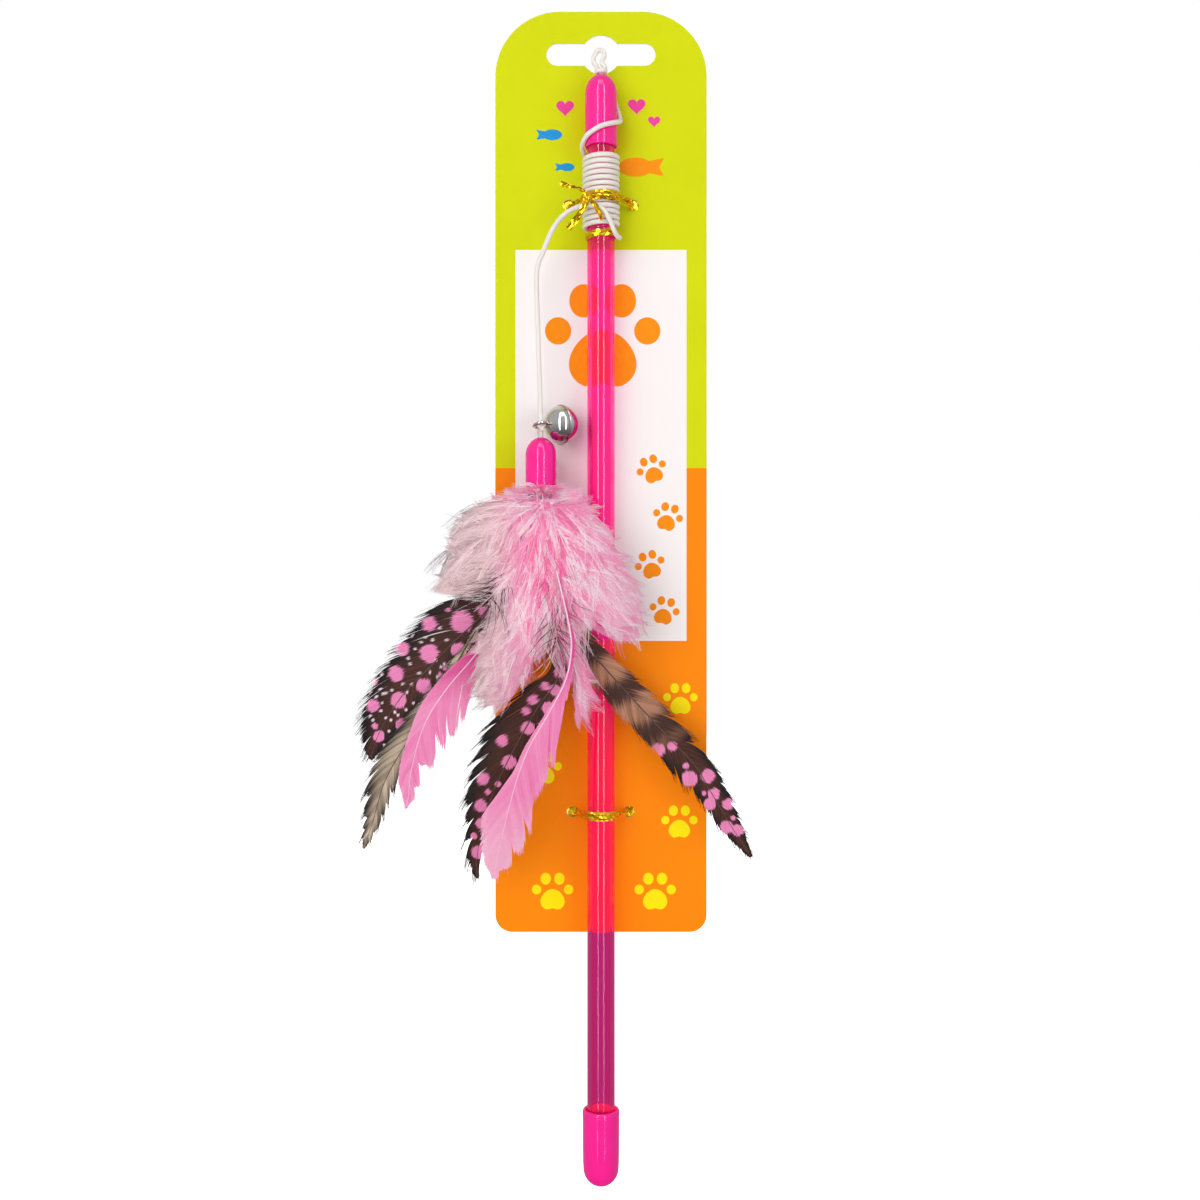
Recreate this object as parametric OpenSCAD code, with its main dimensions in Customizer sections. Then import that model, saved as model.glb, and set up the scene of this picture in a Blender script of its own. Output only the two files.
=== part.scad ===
// Cat teaser wand tied to its hang card, in millimetres.
// X runs to the right, Y into the card and Z up. The origin is the middle of the hang slot.

/* [Card] */
// Width of the card
card_w = 62; // [50:1:90]
// Height of the card
card_h = 270; // [240:1:300]
// Thickness of the board
card_t = 0.5; // [0.4:0.05:1]
// Distance from the top edge down to the middle of the slot
slot_drop = 12.6; // [10:0.1:16]
// Length of the hang slot
slot_w = 32; // [26:0.5:36]
// Height of the hang slot
slot_h = 6.5; // [5:0.1:8]
// Diameter of the round eye in the middle of the slot
slot_eye_d = 11.4; // [9:0.1:13]
// Radius of the two top corners
card_top_r = 19; // [12:0.5:24]
// Radius of the two bottom corners
card_foot_r = 5; // [2:0.5:10]
// Diameter of the punched tie holes
tie_hole_d = 3.4; // [3:0.1:4]
// Distance between the upper pair of holes
upper_hole_span = 18.8; // [17:0.1:24]
// Distance between the lower pair of holes
lower_hole_span = 16.6; // [15:0.1:24]
// Upper holes, below the slot's middle
upper_tie_drop = 44.2; // [43.5:0.1:45]
// Lower holes, below the slot's middle
lower_tie_drop = 222.1; // [200:1:240]

/* [Wand] */
// Outer diameter of the tube
tube_d = 8; // [7:0.1:8.5]
// Bore of the tube
tube_bore = 5.6; // [4.5:0.1:6]
// Length of the tube
tube_len = 310; // [290:1:340]
// Top of the tip cap, below the slot's middle
tip_drop = 8; // [7.8:0.1:8.4]
// Space between the winding and the card
card_lie = 0.6; // [0.4:0.05:1]
// Outer diameter of the tip cap
tip_cap_d = 9.4; // [9:0.1:9.6]
// Length of the tip cap
tip_cap_len = 21.2; // [19:0.1:22]
// Outer diameter of the grip cap
grip_cap_d = 10.7; // [10:0.1:12]
// Length of the grip cap
grip_cap_len = 22.3; // [21:0.1:30]
// Depth of tube inside a wand cap
cap_grip = 16; // [14:0.1:17]
// Thickness of a cap's dome over the cord's knot
dome_wall = 1.4; // [1:0.1:1.8]

/* [Cord] */
// Diameter of the free cord
cord_d = 1.4; // [1.2:0.05:1.5]
// Diameter of the cord where it is wound tight
wound_d = 1.1; // [1:0.05:1.15]
// Rise of one turn
wound_pitch = 1.6; // [1.55:0.05:1.7]
// Number of turns
wound_turns = 13; // [10:1:13]
// Diameter of the knot at the cord's end
knot_d = 2.9; // [2.6:0.1:3]
// Diameter of the two clear strands under the knot
strand_d = 0.6; // [0.4:0.05:0.7]

/* [Ties] */
// Thickness of the folded foil
foil_t = 0.3; // [0.2:0.05:0.4]
// Width of the foil band over the winding
upper_foil_w = 2.4; // [2:0.1:2.8]
// Width of the foil band at the lower holes
lower_foil_w = 2.8; // [2:0.1:3]
// Width of the wrap below the winding
end_foil_w = 2.2; // [1.5:0.1:2.4]
// Width of the twisted tails
tail_w = 1.3; // [1:0.1:1.6]

/* [Lure] */
// Outer diameter of the lure cap
lure_cap_d = 9; // [8.8:0.1:9.2]
// Length of the lure cap
lure_cap_len = 20.6; // [19:0.1:24]
// Wall of the lure cap
lure_wall = 0.6; // [0.5:0.05:0.65]
// Length of the plug in the cap
plug_len = 11.5; // [9:0.1:12]
// Spread of the fluff from side to side
fluff_w = 55; // [46:1:60]
// Length of the fluff
fluff_h = 78; // [68:1:85]
// Depth of the front fluff
fluff_t = 7.5; // [5:0.1:9]

/* [Bell] */
// Diameter of the bell across its seam
bell_d = 11.7; // [10.5:0.1:12]
// Length of the bell along its axis
bell_len = 9.9; // [9:0.1:10.5]
// Thickness of the bell's sheet
bell_wall = 0.5; // [0.3:0.05:0.7]
// Diameter of the loose ball
pellet_d = 2.8; // [2:0.1:3.2]
// Diameter of the eyelet's wire
eyelet_wire = 0.8; // [0.6:0.05:0.9]
// Width of the bell's slot
bell_slot_w = 1; // [0.8:0.1:1.2]
// Distance between the slot's round ends
bell_slot_len = 6; // [5:0.1:7]

/* [Feathers] */
// Thickness of a feather
feather_t = 0.6; // [0.4:0.05:0.7]
// Distance from one feather's layer to the next
feather_step = 1.1; // [1:0.05:1.15]
// Diameter of a quill
quill_d = 0.9; // [0.7:0.05:1]
// Length of the left spotted feather
spotted_left_len = 88; // [75:1:95]
// Length of the grey feather
grey_left_len = 111; // [95:1:120]
// Length of the left pink feather
pink_left_len = 95; // [85:1:105]
// Length of the middle spotted feather
spotted_middle_len = 108; // [95:1:115]
// Length of the middle pink feather
pink_middle_len = 106; // [95:1:115]
// Length of the barred feather
barred_right_len = 117; // [105:1:122]

/* [Hidden] */
$fn = 48;
cut_over = 1;
fit_gap = 0.05;
body_gap = 0.1;
soft_gap = 0.3;
cross_gap = 0.45;

// Wand axis: the winding lies close in front of the card
wind_r = tube_d / 2 + fit_gap + wound_d / 2;
wind_out_r = wind_r + wound_d / 2;
wand_y = -(card_t / 2 + card_lie + wind_out_r);
tip_rim_z = -tip_drop - tip_cap_len;
tube_top_z = tip_rim_z + cap_grip;
tube_end_z = tube_top_z - tube_len;
grip_rim_z = tube_end_z + cap_grip;
cap_lip = 0.5;
cap_land_d = 3.2;
cap_pocket_d = 6.4;
hitch_d = 4;
hitch_h = 1.7;
hitch_z = -tip_drop;
inner_knot_d = 3.8;
cord_hole_d = 1.6;

// Winding: rings to a turn, sides to a ring, and the height where it starts
wind_rings = 24;
wind_sides = 6;
free_sides = 8;
wind_top_z = -31.7;
wind_start_a = 90;
end_tie_z = -54;

// Cord routes about the wand axis, each point as angle, radius and height
lead_route = [
    [80, 1.9, -7.2], [72, 3.3, -7.6], [62, 4.7, -9.2], [50, 5.6, -12.5],
    [36, 5.55, -16.5], [16, 5.5, -19.8], [-10, 5.5, -21.9], [-45, 5.5, -23.2],
    [-90, 5.5, -24.7], [-135, 5.5, -26.8], [-175, 5.5, -29], [-210, 5.3, -30.7],
    [-236, 4.95, -31.4],
];
crossing_route = [
    [55, 4.95, -53], [30, 5.2, -54.1], [2, 5.3, -55.1], [-25, 5.4, -55.7],
    [-46, 5.7, -55], [-60, 6.05, -53], [-72, 6.15, -50.8], [-84, 6.2, -48.8],
    [-100, 6.3, -47.7],
];
// Free arc, each point as x, y and z
arc_route = [
    [-4.1, -12, -47.4], [-6.3, -11.6, -47.8], [-8.5, -11.2, -48.6],
    [-10.7, -10.8, -50], [-12.9, -10.4, -52.4], [-14.8, -10.1, -55.7],
    [-16.6, -9.9, -60.3],
];
loop_route = [
    [-1.2, 0, -6.3], [-1.2, 0, -5.9], [-1.6, -0.1, -5.2], [-2.2, -0.2, -4.3],
    [-2.1, -0.2, -3], [-1.3, -0.1, -1.6], [-0.3, 0, -0.9], [0.7, 0.1, -1.4],
    [0.9, 0.2, -2.6], [0.3, 0.3, -3.8], [0.2, 0.2, -4.6], [0.8, 0.1, -5.2],
    [1.2, 0, -5.9], [1.2, 0, -6.3],
];
loop_d = 1.25;

// Lure: the feathers cross in front of the tube, and the cap is centred on their layers
lure_x = -17.2;
barred_y = wand_y - tube_d / 2 - cross_gap - feather_t / 2;
lure_y = barred_y + feather_step;
swing_point = [-18.4, lure_y, -66];
knot_point = [lure_x, lure_y, -109.8];
lure_top_z = -113.4;
mouth_z = lure_top_z - lure_cap_len;
lure_bore_r = lure_cap_d / 2 - lure_wall;
hinge_z = mouth_z + 1;
stub_len = 1.3;
knuckle_r = quill_d / 2;
plug_end_z = hinge_z + knuckle_r + body_gap + stub_len;
plug_top_z = plug_end_z + plug_len;
lure_pocket_r = 3;
lure_ceiling = 1.2;
strand_hole_d = 1.8;
strand_gap = 0.9;
knot_flat_share = 0.85;
inner_flat_share = 0.8;
small_knot_d = 3;

// Bell: its axis runs from its middle to the knot that its eyelet goes round
bell_reach = [5.7, 3.3, 0.4];
bell_mid = knot_point + bell_reach;
bell_axis = -bell_reach / norm(bell_reach);
bell_turn = atan2(bell_axis[1], bell_axis[0]);
bell_lean = acos(bell_axis[2]);
seam_h = 0.9;
seam_out = 0.2;
eyelet_r = knot_d / 2 + body_gap + eyelet_wire / 2;
eyelet_roll = 15;
slot_roll = 60;

// Foil tails: where the twist stands and how each tail lies
twist_x = -4.3;
twist_d = 1.5;
twist_rise = 0.6;
tail_face = -13.4;
tail_lengths = [8, 9.5, 11.4];
tail_angles = [157, -48, -118];

function unit(v) = v / norm(v);
function polar(p) = [p[1] * cos(p[0]), wand_y + p[1] * sin(p[0]), p[2]];

// A smooth curve through the points, with steps parts to each stretch
function curve_at(a, b, c, d, t) =
    0.5 * ((2 * b) + (c - a) * t + (2 * a - 5 * b + 4 * c - d) * t * t
    + (3 * b - a - 3 * c + d) * t * t * t);
function smooth(p, steps) = [
    for (i = [0 : len(p) - 2]) for (k = [0 : steps - 1])
        curve_at(p[max(i - 1, 0)], p[i], p[i + 1], p[min(i + 2, len(p) - 1)], k / steps),
    p[len(p) - 1]
];

// Directions along a route, and side vectors that don't twist about it
function headings(p) = [
    for (i = [0 : len(p) - 1]) unit(p[min(i + 1, len(p) - 1)] - p[max(i - 1, 0)])
];
function first_side(t) = unit(cross(t, abs(t[2]) < 0.9 ? [0, 0, 1] : [1, 0, 0]));
function sides_along(t) = [
    for (i = 0, u = first_side(t[0]); i < len(t);
        i = i + 1, u = i < len(t) ? unit(u - (u * t[i]) * t[i]) : u) u
];

// One closed skin over rings of n points each
module skin(rings) {
    n = len(rings[0]);
    m = len(rings);
    walls = [for (i = [0 : m - 2]) for (k = [0 : n - 1])
        let (a = i * n + k, b = i * n + (k + 1) % n)
        each [[a, a + n, b + n], [a, b + n, b]]];
    foot = [for (k = [1 : n - 2]) [0, k, k + 1]];
    head = [for (k = [1 : n - 2]) [(m - 1) * n, (m - 1) * n + k + 1, (m - 1) * n + k]];
    polyhedron([for (r = rings) each r], concat(walls, foot, head), convexity = 8);
}

module tube_along(points, d, sides) {
    t = headings(points);
    u = sides_along(t);
    skin([for (i = [0 : len(points) - 1]) [for (k = [0 : sides - 1])
        points[i] + d / 2 * (cos(k * 360 / sides) * u[i] + sin(k * 360 / sides) * cross(t[i], u[i]))]]);
}

module rod_between(p, q, d) {
    v = q - p;
    translate(p) rotate([0, acos(v[2] / norm(v)), atan2(v[1], v[0])]) cylinder(d = d, h = norm(v));
}

// A domed cap, mouth at the bottom, with a seat inside and a hole through the dome
function cap_outline(r, bore_r, pocket_r, length, seat, ceiling, hole_r) = concat(
    [[bore_r, 0], [r - cap_lip, 0], [r, cap_lip]],
    [for (a = [0 : 9 : 90])
        [cap_land_d / 2 + (r - cap_land_d / 2) * cos(a), length - r + r * sin(a)]],
    [[hole_r, length], [hole_r, length - ceiling], [pocket_r, length - ceiling],
        [pocket_r, seat], [bore_r, seat]]);
module domed_cap(r, bore_r, pocket_r, length, seat, ceiling, hole_r) {
    rotate_extrude() polygon(cap_outline(r, bore_r, pocket_r, length, seat, ceiling, hole_r));
}

module backing_card() {
    half = card_w / 2;
    foot = slot_drop - card_h;
    color("YellowGreen") rotate([90, 0, 0]) translate([0, 0, -card_t / 2]) linear_extrude(card_t)
    difference() {
        union() {
            translate([-half, foot + card_foot_r])
                square([card_w, card_h - card_foot_r - card_top_r]);
            translate([-half + card_top_r, foot + card_foot_r])
                square([card_w - 2 * card_top_r, card_h - card_foot_r]);
            translate([-half + card_foot_r, foot])
                square([card_w - 2 * card_foot_r, card_foot_r + cut_over]);
            for (s = [-1, 1]) {
                translate([s * (half - card_top_r), slot_drop - card_top_r]) circle(card_top_r);
                translate([s * (half - card_foot_r), foot + card_foot_r]) circle(card_foot_r);
            }
        }
        circle(d = slot_eye_d);
        translate([-(slot_w - slot_h) / 2, -slot_h / 2]) square([slot_w - slot_h, slot_h]);
        for (s = [-1, 1]) {
            translate([s * (slot_w - slot_h) / 2, 0]) circle(d = slot_h);
            translate([s * upper_hole_span / 2, -upper_tie_drop]) circle(d = tie_hole_d);
            translate([s * lower_hole_span / 2, -lower_tie_drop]) circle(d = tie_hole_d);
        }
    }
}

module wand_tube() {
    color("DeepPink", 0.7) translate([0, wand_y, tube_end_z]) difference() {
        cylinder(d = tube_d, h = tube_len);
        translate([0, 0, -cut_over]) cylinder(d = tube_bore, h = tube_len + 2 * cut_over);
    }
}

module tip_cap() {
    color("HotPink") translate([0, wand_y, tip_rim_z])
        domed_cap(tip_cap_d / 2, tube_d / 2, cap_pocket_d / 2, tip_cap_len, cap_grip,
            dome_wall, cord_hole_d / 2);
}

module grip_cap() {
    color("HotPink") translate([0, wand_y, grip_rim_z]) rotate([180, 0, 0])
        domed_cap(grip_cap_d / 2, tube_d / 2, tube_bore / 2, grip_cap_len, cap_grip,
            grip_cap_len - cap_grip, 0);
}

module tip_inner_knot() {
    ceiling_z = -tip_drop - dome_wall;
    drop = inner_knot_d / 2 * inner_flat_share;
    color("WhiteSmoke") translate([0, wand_y, ceiling_z]) {
        difference() {
            translate([0, 0, -drop]) sphere(d = inner_knot_d);
            translate([-inner_knot_d, -inner_knot_d, 0]) cube(2 * inner_knot_d);
        }
        translate([0, 0, -drop]) cylinder(d = cord_d, h = drop + dome_wall);
    }
}

module tip_knot() {
    color("WhiteSmoke") translate([0, wand_y, hitch_z]) cylinder(d = hitch_d, h = hitch_h);
}

module tip_loop() {
    color("WhiteSmoke") translate([0, wand_y, hitch_z + hitch_h - loop_route[0][2]])
        tube_along(concat([loop_route[0]],
            smooth([for (i = [1 : len(loop_route) - 2]) loop_route[i]], 2),
            [loop_route[len(loop_route) - 1]]), loop_d, free_sides);
}

// Points of the winding: a helix, with a straight run of one diameter at each end
function wind_point(i) = polar([wind_start_a - 360 * i / wind_rings, wind_r,
    wind_top_z - wound_pitch * i / wind_rings]);
wind_count = wound_turns * wind_rings;
wind_run = unit([2 * PI * wind_r, 0, -wound_pitch]) * wound_d;
wind_points = concat([wind_point(0) - wind_run],
    [for (i = [0 : wind_count]) wind_point(i)], [wind_point(wind_count) + wind_run]);

module cord_winding() {
    near = [for (i = [0 : wind_count - wind_rings / 2])
        min([for (j = [i + wind_rings / 2 : min(i + 2 * wind_rings, wind_count)])
            norm(wind_point(i) - wind_point(j))])];
    echo(least_gap_of_winding_to_itself = min(near) - wound_d);
    color("White") tube_along(wind_points, wound_d, wind_sides);
}

module cord_lead() {
    last = wind_points[0];
    color("White") tube_along(concat(smooth([for (p = lead_route) polar(p)], 2),
        [last - 2 * wind_run, last]), cord_d, free_sides);
}

module cord_arc() {
    first = wind_points[len(wind_points) - 1];
    end = swing_point + [0, 0, cord_d / 2 + body_gap];
    bends = concat([for (p = crossing_route) polar(p)], arc_route, [end + [0, 0, 2 * cord_d]]);
    color("White") tube_along(concat([first, first + wind_run], smooth(bends, 2), [end]),
        cord_d, free_sides);
}

module cord_drop() {
    end = knot_point + [0, 0, knot_d / 2 + body_gap];
    v = end - swing_point;
    r = cord_d / 2;
    color("White") translate(swing_point)
        rotate([0, acos(v[2] / norm(v)), atan2(v[1], v[0])])
        rotate_extrude($fn = 24) polygon(concat([[0, norm(v)], [r, norm(v)]],
            [for (a = [0 : 15 : 90]) [r * cos(a), -r * sin(a)]]));
}

// A strap round the front of a rod, through two holes and across the back of the card
function strap_path(r, span, out) = let (
    back = card_t / 2 + out,
    hole = span / 2 + out) concat(
    [[-hole, back], [-hole, -card_t / 2 - fit_gap]],
    [for (a = [190 : 10 : 350]) [(r + out) * cos(a), wand_y + (r + out) * sin(a)]],
    [[hole, -card_t / 2 - fit_gap], [hole, back]]);
module strap(r, span, w) {
    inner = strap_path(r, span, 0);
    outer = strap_path(r, span, foil_t);
    n = len(inner);
    linear_extrude(w, center = true)
        polygon(concat(outer, inner), [[for (i = [0 : n - 1]) i], [for (i = [0 : n - 1]) n + i]]);
}

module upper_twist_tie() {
    band_r = wind_out_r + fit_gap;
    near_x = twist_x + twist_d / 2;
    start = [twist_x, wand_y - sqrt(band_r * band_r - near_x * near_x), 0];
    front = [twist_x, tail_face, twist_rise];
    color("Goldenrod") translate([0, 0, -upper_tie_drop]) {
        strap(band_r, upper_hole_span - tail_w, upper_foil_w);
        rod_between(start, front, twist_d);
        for (i = [0 : 2])
            translate(front) rotate([0, -tail_angles[i], 0])
                translate([0, 0, -tail_w / 2]) cube([tail_lengths[i], foil_t, tail_w]);
    }
}

module lower_twist_tie() {
    color("Goldenrod") translate([0, 0, -lower_tie_drop])
        strap(tube_d / 2 + fit_gap, lower_hole_span - tail_w, lower_foil_w);
}

module cord_end_tie() {
    color("Goldenrod") translate([0, wand_y, end_tie_z - end_foil_w]) difference() {
        cylinder(d = tube_d + 2 * foil_t, h = end_foil_w);
        translate([0, 0, -cut_over]) cylinder(d = tube_d, h = end_foil_w + 2 * cut_over);
    }
}

module cord_knot() {
    color("White") translate(knot_point) difference() {
        sphere(d = knot_d);
        translate([-knot_d, -knot_d, -2 * knot_d - knot_d / 2 * knot_flat_share]) cube(2 * knot_d);
    }
}

inner_knot_z = lure_top_z - lure_ceiling;

module tie_strands() {
    top_z = knot_point[2] - knot_d / 2 * knot_flat_share;
    color("Snow") for (s = [-1, 1])
        translate([lure_x + s * strand_gap / 2, lure_y, inner_knot_z])
            cylinder(d = strand_d, h = top_z - inner_knot_z, $fn = 24);
}

module lure_inner_knot() {
    drop = small_knot_d / 2 * inner_flat_share;
    color("White") translate([lure_x, lure_y, inner_knot_z]) difference() {
        translate([0, 0, -drop]) sphere(d = small_knot_d);
        translate([-small_knot_d, -small_knot_d, 0]) cube(2 * small_knot_d);
    }
}

module lure_cap() {
    color("DeepPink") translate([lure_x, lure_y, mouth_z])
        domed_cap(lure_cap_d / 2, lure_bore_r, lure_pocket_r, lure_cap_len,
            plug_top_z - mouth_z, lure_ceiling, strand_hole_d / 2);
}

// Layers of the feathers, from the one nearest the card to the one nearest the eye
layers = [3, 2, 1, 0, -1, -2];
function layer_y(i) = barred_y + layers[i] * feather_step;

module lure_plug() {
    color("Wheat") {
        translate([lure_x, lure_y, plug_end_z]) cylinder(r = lure_bore_r, h = plug_len);
        for (i = [0 : 5])
            translate([lure_x, layer_y(i), plug_end_z - stub_len])
                cylinder(d = quill_d, h = stub_len + cut_over, $fn = 24);
    }
}

// Half of the bell's outline, as radius and height
function shell_line(r, h) = [for (a = [0 : 7.5 : 90]) [r * cos(a), h * sin(a)]];
module bell_half() {
    r = bell_d / 2 - seam_out;
    outer = shell_line(r, bell_len / 2);
    inner = shell_line(r - bell_wall, bell_len / 2 - bell_wall);
    n = len(inner);
    rotate_extrude() {
        polygon(concat(outer, [for (i = [1 : n]) inner[n - i]]));
        translate([r - bell_wall / 2, 0]) square([bell_wall / 2 + seam_out, seam_h / 2]);
    }
}
module at_bell() {
    translate(bell_mid) rotate([0, bell_lean, bell_turn]) children();
}

module bell_upper_half() {
    color("Silver") at_bell() bell_half();
}

module bell_lower_half() {
    color("Silver") at_bell() difference() {
        mirror([0, 0, 1]) bell_half();
        rotate([0, 0, slot_roll]) translate([0, 0, -bell_len]) {
            translate([-bell_slot_len / 2, -bell_slot_w / 2, 0])
                cube([bell_slot_len, bell_slot_w, bell_len - bell_wall * 3]);
            for (s = [-1, 1])
                translate([s * bell_slot_len / 2, 0, 0])
                    cylinder(d = 2 * bell_slot_w, h = bell_len - bell_wall * 3);
        }
    }
}

module bell_eyelet() {
    color("Silver") difference() {
        translate(knot_point) rotate([0, bell_lean, bell_turn]) rotate([0, 0, eyelet_roll])
            rotate([0, 90, 0]) rotate_extrude() translate([eyelet_r, 0]) circle(d = eyelet_wire);
        at_bell() rotate_extrude()
            polygon(concat([[0, 0]], shell_line(bell_d / 2 - seam_out, bell_len / 2)));
    }
}

pellet_rest = bell_d / 2 - seam_out - bell_wall - pellet_d / 2 - soft_gap;
module bell_pellet() {
    color("DimGray") translate(bell_mid - [0, 0, pellet_rest]) sphere(d = pellet_d);
}

// A puff of fluff: one outline, smaller towards its front and back faces
puff_size_shares = [0.5, 0.84, 1, 0.84, 0.5];
function puff_point(p) = [lure_x + p[0] * fluff_w, mouth_z - p[1] * fluff_h];
module puff(outline, mid_share, y_back, depth) {
    mid = puff_point(mid_share);
    n = len(puff_size_shares);
    skin([for (i = [0 : n - 1]) [for (p = outline)
        let (q = mid + (puff_point(p) - mid) * puff_size_shares[i])
        [q[0], y_back - depth * i / (n - 1), q[1]]]]);
}
fluff_back_y = lure_y - lure_cap_d / 2 - soft_gap;
front_reach = layer_y(5) - fluff_back_y + fluff_t + soft_gap + feather_t;
neck_d = 0.7;
neck_x = 1.5;
neck_y = layer_y(5) + soft_gap;
neck_down = 1.2;
back_neck_share = 0.14;

left_puff_shares = [
    [-0.05, -0.07], [-0.14, -0.06], [-0.31, 0.01], [-0.48, 0.13], [-0.47, 0.24],
    [-0.36, 0.44], [-0.22, 0.69], [-0.11, 0.82], [-0.04, 0.7], [-0.04, 0.3], [-0.05, 0.16],
];
right_puff_shares = [
    [0.04, -0.07], [0.05, 0.02], [0.12, 0.16], [0, 0.24], [-0.01, 0.7], [0.06, 0.86],
    [0.15, 0.9], [0.26, 0.79], [0.37, 0.56], [0.51, 0.38], [0.4, 0.19], [0.26, 0.02],
    [0.13, -0.05],
];
back_puff_shares = [
    [0.02, 0.06], [-0.2, 0.06], [-0.42, 0.18], [-0.36, 0.44], [-0.2, 0.66], [0.02, 0.7],
    [0.12, 0.5], [0.14, 0.25],
];

// The stalk that joins a front puff to the plug, out through the cap's mouth
module puff_neck(side, end_share) {
    x = lure_x + side * neck_x;
    end = puff_point(end_share);
    tube_along([[x, neck_y, plug_end_z], [x, neck_y, mouth_z - neck_down],
        [end[0], fluff_back_y - fluff_t / 2, end[1]]], neck_d, free_sides);
}

module marabou_left() {
    color("LightPink") {
        puff(left_puff_shares, [-0.25, 0.3], fluff_back_y, fluff_t);
        puff_neck(-1, [-0.12, 0.14]);
    }
}

module marabou_right() {
    color("LightPink") {
        puff(right_puff_shares, [0.2, 0.35], fluff_back_y, fluff_t);
        puff_neck(1, [0.17, 0.16]);
    }
}

module marabou_back() {
    back_y = -card_t / 2 - card_lie;
    front_y = layer_y(0) + feather_t / 2 + soft_gap;
    stalk_y = front_y + neck_d / 2;
    color("LightPink") {
        puff(back_puff_shares, [-0.15, 0.3], back_y, back_y - front_y);
        tube_along([[lure_x, stalk_y, plug_end_z], [lure_x, stalk_y, mouth_z - neck_down],
            [lure_x, (back_y + front_y) / 2, mouth_z - fluff_h * back_neck_share]], neck_d, free_sides);
    }
}

// A feather: a thin blade along a bowed spine, hung from a round knuckle in the cap's mouth.
// Each station gives shares: along the length, spine to the side, left half and right half.
module feather(y, length, lean, stations, width, depths = []) {
    down = [-sin(lean), 0, -cos(lean)];
    across = [cos(lean), 0, -sin(lean)];
    root = [lure_x, y, hinge_z];
    n = len(stations);
    translate(root) rotate([90, 0, 0]) cylinder(r = knuckle_r, h = feather_t, center = true, $fn = 24);
    skin([for (i = [0 : n - 1])
        let (s = stations[i],
            ahead = stations[min(i + 1, n - 1)] - stations[max(i - 1, 0)],
            along = unit([ahead[0], ahead[1]]),
            side = across * along[0] - down * along[1],
            p = root + down * s[0] * length + across * s[1] * length
                - [0, len(depths) > 0 ? depths[i] * front_reach : 0, 0],
            l = max(s[2] * width, quill_d / 2),
            r = max(s[3] * width, quill_d / 2),
            t = feather_t / 2)
        [for (c = [[-l, 0], [-l / 2, -t], [r / 2, -t], [r, 0], [r / 2, t], [-l / 2, t]])
            p + side * c[0] + [0, c[1], 0]]]);
}

spotted_left_w = 22;
spotted_left_shares = [
    [0, 0, 0, 0], [0.15, 0.02, 0, 0], [0.28, 0.04, 0.1, 0.08], [0.4, 0.04, 0.35, 0.2],
    [0.53, 0.01, 0.55, 0.27], [0.65, -0.01, 0.52, 0.29], [0.76, -0.03, 0.46, 0.34],
    [0.87, -0.03, 0.36, 0.29], [0.94, -0.02, 0.24, 0.18], [1, 0, 0.02, 0.02],
];
grey_left_w = 13;
grey_left_shares = [
    [0, 0, 0, 0], [0.3, 0, 0, 0], [0.5, -0.01, 0.15, 0.15], [0.62, -0.02, 0.3, 0.25],
    [0.74, -0.03, 0.4, 0.27], [0.83, -0.03, 0.4, 0.27], [0.93, -0.01, 0.22, 0.16],
    [1, 0, 0.02, 0.02],
];
pink_left_w = 15;
pink_left_shares = [
    [0, 0, 0, 0], [0.2, 0.02, 0, 0], [0.38, 0.03, 0.06, 0.1], [0.5, 0, 0.15, 0.3],
    [0.6, -0.03, 0.22, 0.45], [0.7, -0.05, 0.24, 0.65], [0.79, -0.05, 0.22, 0.55],
    [0.9, -0.03, 0.24, 0.28], [0.96, -0.01, 0.14, 0.12], [1, 0, 0.02, 0.02],
];
spotted_middle_w = 16;
spotted_middle_shares = [
    [0, 0, 0, 0], [0.18, 0.05, 0, 0], [0.33, 0.1, 0.05, 0.05], [0.44, 0.12, 0.2, 0.12],
    [0.52, 0.085, 0.4, 0.2], [0.64, 0.04, 0.65, 0.14], [0.76, 0.005, 0.54, 0.1],
    [0.86, -0.01, 0.36, 0.08], [0.95, -0.01, 0.18, 0.06], [1, 0, 0.02, 0.02],
];
pink_middle_w = 18;
pink_middle_shares = [
    [0, 0, 0, 0], [0.03, 0.01, 0, 0], [0.11, 0.046, 0, 0], [0.19, 0.074, 0, 0],
    [0.27, 0.104, 0, 0.03], [0.36, 0.13, 0, 0.05], [0.45, 0.126, 0.02, 0.08],
    [0.54, 0.094, 0.04, 0.22], [0.64, 0.052, 0.06, 0.48], [0.73, 0.03, 0.12, 0.42],
    [0.81, 0.018, 0.38, 0.4], [0.88, 0.01, 0.36, 0.42], [0.95, 0.003, 0.24, 0.24],
    [1, 0, 0.02, 0.02],
];
pink_middle_depth_shares = [0, 0.07, 0.97, 1, 1, 1, 1, 1, 0.98, 0.92, 0.82, 0.72, 0.62, 0.55];
barred_right_w = 16;
barred_right_shares = [
    [0, 0, 0, 0], [0.15, -0.04, 0, 0], [0.26, -0.07, 0.1, 0.06], [0.36, -0.078, 0.4, 0.2],
    [0.45, -0.064, 0.34, 0.3], [0.55, -0.044, 0.36, 0.42], [0.66, -0.02, 0.36, 0.4],
    [0.74, -0.003, 0.42, 0.33], [0.82, -0.003, 0.25, 0.34], [0.91, -0.003, 0.2, 0.24],
    [1, 0, 0.03, 0.03],
];

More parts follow.
